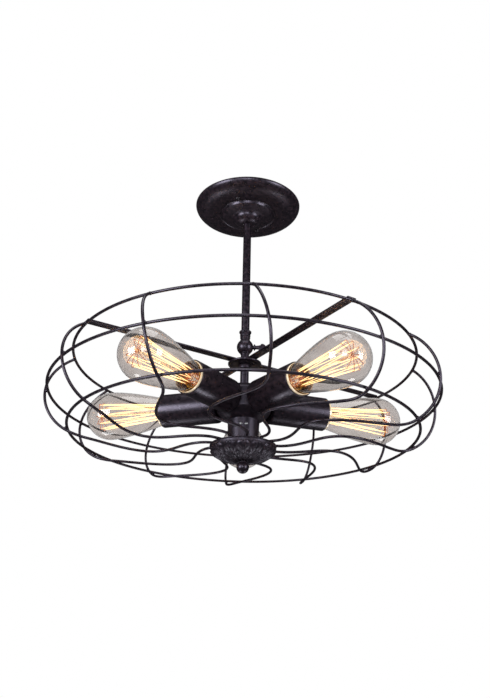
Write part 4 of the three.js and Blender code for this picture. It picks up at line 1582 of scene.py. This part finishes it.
@dataclass
class FilamentLamp:
    """One pear-shaped lamp: screw cap, smoked bulb, glass stem, support wires and the wound filament."""

    arm: Arm
    brass: Finish
    insulator: Finish
    bulb_glass: Finish
    stem_glass: Finish
    carbon: Finish
    hooks: Finish
    glass_wall: float = 0.8 * MM
    dome: float = 33 * MM
    neck_radius: float = 18.4 * MM
    neck_flare: float = 8.4 * MM
    swell: float = 0.7
    thread_pitch: float = 3.6 * MM
    thread_depth: float = 0.9 * MM
    thread_rows: int = 64
    insulator_height: float = 6 * MM
    contact: float = 4.4 * MM
    strands: int = 22
    strand_steps: int = 8
    strand_bow: float = 0.9 * MM
    lower_hook: float = 10 * MM
    upper_hook: float = 17.5 * MM
    strand: float = 0.28 * MM
    support: float = 0.35 * MM
    glow_watts: float = 0.12
    glow_colour: str = "#ffd09a"
    glow_radius: float = 18 * MM
    cap: Reach = field(init=False)
    glass: Reach = field(init=False)

    def __post_init__(self) -> None:
        """Reads the lamp's size from the frame."""
        self.cap = Reach.of("lamp_cap")
        self.glass = Reach.of("lamp_glass")

    @property
    def body(self) -> str:
        """The body that the lamp rides on."""
        return f"bulb_{self.arm.number}"

    def name(self, piece: str) -> str:
        """Gives a piece's name with the lamp's number."""
        return f"{piece}_{self.arm.number}"

    def build(self) -> None:
        """Builds and dresses every piece of the lamp."""
        self.build_cap()
        self.build_bulb()
        self.build_stem()
        self.build_filament()
        self.build_glow()

    def build_cap(self) -> None:
        """Builds the threaded cap, its black glass insulator and its solder contact."""
        low, start = self.cap.start, self.cap.start + self.insulator_height
        length, rows = self.cap.end - start, self.thread_rows

        def point(row: int, angle: float) -> Vector:
            """Gives a point on the rolled thread, with a pole at each end."""
            if row in (0, rows + 1):
                return Vector((0, 0, start if row == 0 else self.cap.end))
            share = (row - 1) / (rows - 1)
            along = share * length
            fade = min(1.0, 8 * share, max(0.0, (length - 5 * MM - along) / (2 * MM)))
            wave = 0.5 + 0.5 * math.cos(along / self.thread_pitch * TURN - angle)
            radius = self.cap.radius - self.thread_depth * fade * wave - (1.2 * MM if row == 1 else 0.0)
            return Vector((radius * math.cos(angle), radius * math.sin(angle), start + along))

        cap = surface_of(self.name("screw_cap"), rows + 2, 64, point, False, 50.0)
        dress(move(cap, self.arm.place), self.brass, self.body, self.name("lamp_cap"))
        cone = rounded([
            (0, low + MM, 0), (4.8 * MM, low + MM, 0.4 * MM),
            (self.cap.radius - 1.6 * MM, start - 0.2 * MM, 0.8 * MM), (0, start - 0.1 * MM, 0),
        ], closed=False)
        piece = move(revolve(self.name("cap_insulator"), cone, 64), self.arm.place)
        dress(piece, self.insulator, self.body)
        button = arc((0, low + 1.1 * MM), (self.contact, 1.1 * MM), -90, 0, 8)
        button += [(self.contact, low + 1.3 * MM), (0, low + 1.3 * MM)]
        piece = move(revolve(self.name("cap_contact"), button, 48), self.arm.place)
        dress(piece, self.brass, self.body)

    def bulb_side(self, inset: float) -> Outline:
        """Gives the bulb's section from its neck to the middle of its end.

        Args:
            inset: The distance in from its outer face.

        Returns:
            The outline.
        """
        widest = self.glass.end - self.dome
        neck = self.glass.start + self.neck_flare
        control = neck + (widest - neck) * self.swell
        radius = self.glass.radius - inset
        points = [
            (self.cap.radius - 0.4 * MM - inset, self.glass.start),
            (self.cap.radius + 1.0 * MM - inset, self.glass.start + 2.2 * MM),
            (self.neck_radius - 1.0 * MM - inset, neck - 2.8 * MM),
        ]
        start = self.neck_radius - inset
        for i in range(BULB_STEPS + 1):
            t = i / BULB_STEPS
            r = start * (1 - t) ** 2 + radius * (2 * t * (1 - t) + t**2)
            z = neck * (1 - t) ** 2 + control * 2 * t * (1 - t) + widest * t**2
            points.append((r, z))
        return points + arc((0, widest), (radius, self.dome - inset), 0, 90, BULB_STEPS)[1:]

    def build_bulb(self) -> None:
        """Builds the blown bulb as a thin shell that is open at its neck."""
        inner = self.bulb_side(self.glass_wall)[::-1]
        bulb = revolve(self.name("bulb_glass"), inner + self.bulb_side(0.0), 112, 80.0)
        dress(move(bulb, self.arm.place), self.bulb_glass, self.body, self.name("lamp_glass"))

    def build_stem(self) -> None:
        """Builds the glass stem: its flare in the neck, its pinch, and the rod with a bead at the end."""
        low = self.glass.start + 0.4 * MM
        pinch = low + 12 * MM
        tip = self.glass.end - 20 * MM
        outline = rounded([
            (0, low, 0), (self.cap.radius - 2.4 * MM, low, 0.5 * MM), (6 * MM, low + 4 * MM, 3 * MM),
            (3.6 * MM, pinch, 1.5 * MM), (1.5 * MM, pinch + 4 * MM, 1.5 * MM),
            (1.4 * MM, tip - 5 * MM, 0.5 * MM),
            (2.6 * MM, tip - 2.5 * MM, 1.2 * MM), (1.6 * MM, tip, 0.8 * MM), (0, tip, 0),
        ], closed=False)
        stem = revolve(self.name("glass_stem"), outline, 40, 60.0)
        dress(move(stem, self.arm.place), self.stem_glass, self.body, self.name("filament_mount"))

    def hook_ring(self, along: float, radius: float, count: int, offset: float) -> list[Vector]:
        """Gives the places of one ring of hooks.

        Args:
            along: Their place along the axis.
            radius: Their distance from it.
            count: How many there are.
            offset: The first one's angle, in steps.

        Returns:
            The places.
        """
        angles = [TURN * (i + offset) / count for i in range(count)]
        return [Vector((radius * math.cos(a), radius * math.sin(a), along)) for a in angles]

    def build_filament(self) -> None:
        """Builds the filament, wound to and fro between two rings of hooks, and the hooks themselves."""
        rng = random.Random(40 + self.arm.number)
        half = self.strands // 2
        low, high = self.glass.start + 12 * MM, self.glass.end - 21 * MM
        lower = self.hook_ring(low, self.lower_hook, half, 0.0)
        upper = self.hook_ring(high, self.upper_hook, half, 0.5)
        path: list[Vector] = []
        for i in range(half):
            for start, end in ((lower[i], upper[i]), (upper[i], lower[(i + 1) % half])):
                if end is lower[0]:
                    end = lower[0] + Vector((0, 0, 2 * MM))
                bow = Vector((rng.uniform(-1, 1), rng.uniform(-1, 1), 0)) * self.strand_bow
                for step in range(self.strand_steps):
                    t = step / self.strand_steps
                    path.append(start.lerp(end, t) + bow * math.sin(math.pi * t))
        filament = sweep(self.name("carbon_filament"), path, self.strand, 6)
        dress(move(filament, self.arm.place), self.carbon, self.body)
        mesh = bmesh.new()
        for places, root, bend in ((upper, high + 2.6 * MM, MM), (lower, low - 4 * MM, -MM)):
            for place in places:
                self.add_hook(mesh, place, root, bend)
        for side in (-1, 1):
            foot = Vector((side * 3 * MM, 0, self.glass.start + MM))
            bend = Vector((side * 3.2 * MM, 0, low - 5 * MM))
            add_wire(mesh, [foot, bend, lower[0 if side > 0 else half // 2]], self.support, 8)
        hooks = mesh_object(self.name("support_wires"), mesh, WIRE_CREASE_DEG)
        dress(move(hooks, self.arm.place), self.hooks, self.body)

    def add_hook(self, mesh: EditMesh, place: Vector, root: float, bend: float) -> None:
        """Adds a support wire from the glass rod out to one hook.

        Args:
            mesh: The edit mesh.
            place: Where the filament hangs in the hook.
            root: The place along the axis where the wire leaves the rod.
            bend: How far the hook's end curls along the axis.
        """
        reach = Vector((place.x, place.y, 0))
        out, up = reach.normalized(), Vector((0, 0, 1))
        centre = out * (reach.length - 0.2 * MM) + up * place.z
        curl = []
        for step in range(CURL_STEPS + 1):
            angle = math.pi * step / CURL_STEPS
            curl.append(centre + (out * abs(bend) * math.sin(angle) + up * bend * math.cos(angle)) * 1.5)
        start = out * 1.2 * MM + up * root
        mid = start.lerp(curl[0], 0.6) + up * bend
        add_wire(mesh, [start, mid, *curl], self.support, 8)

    def build_glow(self) -> None:
        """Adds the lamp's own warm light in the middle of the bulb."""
        light = bpy.data.lights.new(self.name("filament_glow"), "POINT")
        light.energy = self.glow_watts
        light.color = linear(self.glow_colour)[:3]
        light.shadow_soft_size = self.glow_radius
        lamp = bpy.data.objects.new(light.name, light)
        lamp.location = self.arm.place @ Vector((0, 0, (self.glass.start + self.glass.end) / 2))
        lamp.visible_camera = False
        lamp.visible_transmission = False
        bpy.context.scene.collection.objects.link(lamp)
        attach(lamp, self.body)


# ---------------------------------------------------------------- studio
@dataclass
class Studio:
    """The camera, the pale floor and the soft lights."""

    paper: Finish
    distance: float = 0.9949
    drop: float = 0.3702
    pitch: float = 0.42
    roll: float = 0.02
    sensor_mm: float = 36.0
    focal_ratio: float = 817.4 / 698
    clip_start: float = 0.02
    floor_drop: float = 1.8
    floor_radius: float = 7.0
    floor_thickness: float = 0.02
    sky_colour: str = "#ffffff"
    sky_strength: float = 1.0
    mirrored_colour: str = "#d8d6e2"
    mirrored_strength: float = 0.07

    def build(self) -> None:
        """Builds the camera, the floor, the sky and the lamps."""
        low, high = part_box("ring_middle")
        centre = (low + high) / 2
        self.build_camera(centre)
        self.build_floor(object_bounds()[0].z)
        self.build_sky()
        self.build_lights(centre)
        bpy.context.scene.view_settings.view_transform = "Standard"

    def build_camera(self, centre: Vector) -> None:
        """Puts the camera below and in front of the cage, looking up at it.

        Args:
            centre: The middle of the widest ring.
        """
        data = bpy.data.cameras.new("camera")
        data.sensor_width = self.sensor_mm
        data.lens = self.sensor_mm * self.focal_ratio
        data.clip_start = self.clip_start
        camera = bpy.data.objects.new("camera", data)
        ahead = Vector((0, math.cos(self.pitch), math.sin(self.pitch)))
        level = Vector((0, -math.sin(self.pitch), math.cos(self.pitch)))
        right = Vector((1, 0, 0)) * math.cos(self.roll) + level * math.sin(self.roll)
        up = level * math.cos(self.roll) - Vector((1, 0, 0)) * math.sin(self.roll)
        turn = Matrix((right, up, -ahead)).transposed().to_4x4()
        camera.matrix_world = Matrix.Translation(centre - Vector((0, self.distance, self.drop))) @ turn
        bpy.context.scene.collection.objects.link(camera)
        bpy.context.scene.camera = camera

    def build_floor(self, lowest: float) -> None:
        """Lays a wide pale floor well below the light.

        Args:
            lowest: The light's lowest point.
        """
        edge, under = self.floor_radius, -self.floor_thickness
        floor = revolve("studio_floor", [(0, 0), (edge, 0), (edge, under), (0, under)], 96)
        move(floor, Matrix.Translation((0, 0, lowest - self.floor_drop)))
        floor.data.materials.append(self.paper.material())
        floor.visible_glossy = False
        floor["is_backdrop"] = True

    def build_sky(self) -> None:
        """Makes the surroundings white, and dim where a glossy surface mirrors them, as in a dark studio."""
        world = bpy.data.worlds.new("studio")
        world.use_nodes = True
        bpy.context.scene.world = world
        tree = world.node_tree
        tree.nodes.clear()
        rays = add_node(tree, "ShaderNodeLightPath").outputs
        mirrored = add_node(
            tree, "ShaderNodeMath", {0: rays["Is Glossy Ray"], 1: rays["Is Transmission Ray"]},
            operation="SUBTRACT", use_clamp=True,
        ).outputs[0]
        shades = [
            add_node(tree, "ShaderNodeBackground", {"Color": linear(colour), "Strength": strength}).outputs[0]
            for colour, strength in (
                (self.sky_colour, self.sky_strength), (self.mirrored_colour, self.mirrored_strength)
            )
        ]
        mix = add_node(tree, "ShaderNodeMixShader", {0: mirrored, 1: shades[0], 2: shades[1]})
        add_node(tree, "ShaderNodeOutputWorld", {"Surface": mix.outputs[0]})

    def build_lights(self, centre: Vector) -> None:
        """Hangs a soft box in front, one on each side, one overhead and two small ones low at the back.

        Args:
            centre: The point that they face.
        """
        boxes = (
            ("softbox_left", Vector((-1.5, -1.3, 0.0)), 0.9, 40.0),
            ("softbox_right", Vector((1.7, -1.1, 0.0)), 0.8, 26.0),
            ("softbox_front", Vector((-0.1, -1.8, -0.05)), 0.6, 12.0),
            ("softbox_top", Vector((0.0, -0.4, 1.5)), 1.2, 14.0),
            ("softbox_low_left", Vector((-0.62, 0.62, -1.15)), 0.4, 3.4),
            ("softbox_low_right", Vector((0.62, 0.62, -1.15)), 0.4, 3.4),
        )
        for name, offset, size, energy in boxes:
            data = bpy.data.lights.new(name, "AREA")
            data.shape = "SQUARE"
            data.size = size
            data.energy = energy
            lamp = bpy.data.objects.new(name, data)
            lamp.location = centre + offset
            lamp.rotation_euler = (-offset).to_track_quat("-Z", "Y").to_euler()
            lamp.visible_transmission = False
            bpy.context.scene.collection.objects.link(lamp)


def main() -> None:
    """Builds the light piece by piece."""
    logging.basicConfig(level=logging.INFO, format="%(name)s: %(message)s")
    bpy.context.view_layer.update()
    enamel, plate, brass = BronzeEnamel(), ZincPlate(), ShellBrass()
    Studio(BackdropPaper()).build()
    Canopy(enamel, BlackZinc()).build()
    Stem(enamel, plate).build()
    Swivel(enamel).build()
    GuardCage(enamel).build()
    LampCluster(enamel, CastEnamel(), plate).build()
    for number in range(1, 6):
        arm = Arm.of(number)
        SocketArm(arm, enamel, GlazedPorcelain(), brass).build()
        FilamentLamp(arm, brass, Vitrite(), BlownGlass(), LeadGlass(), GlowingCarbon(), MolybdenumWithPaintedGlow()).build()


if __name__ == "__main__":
    main()
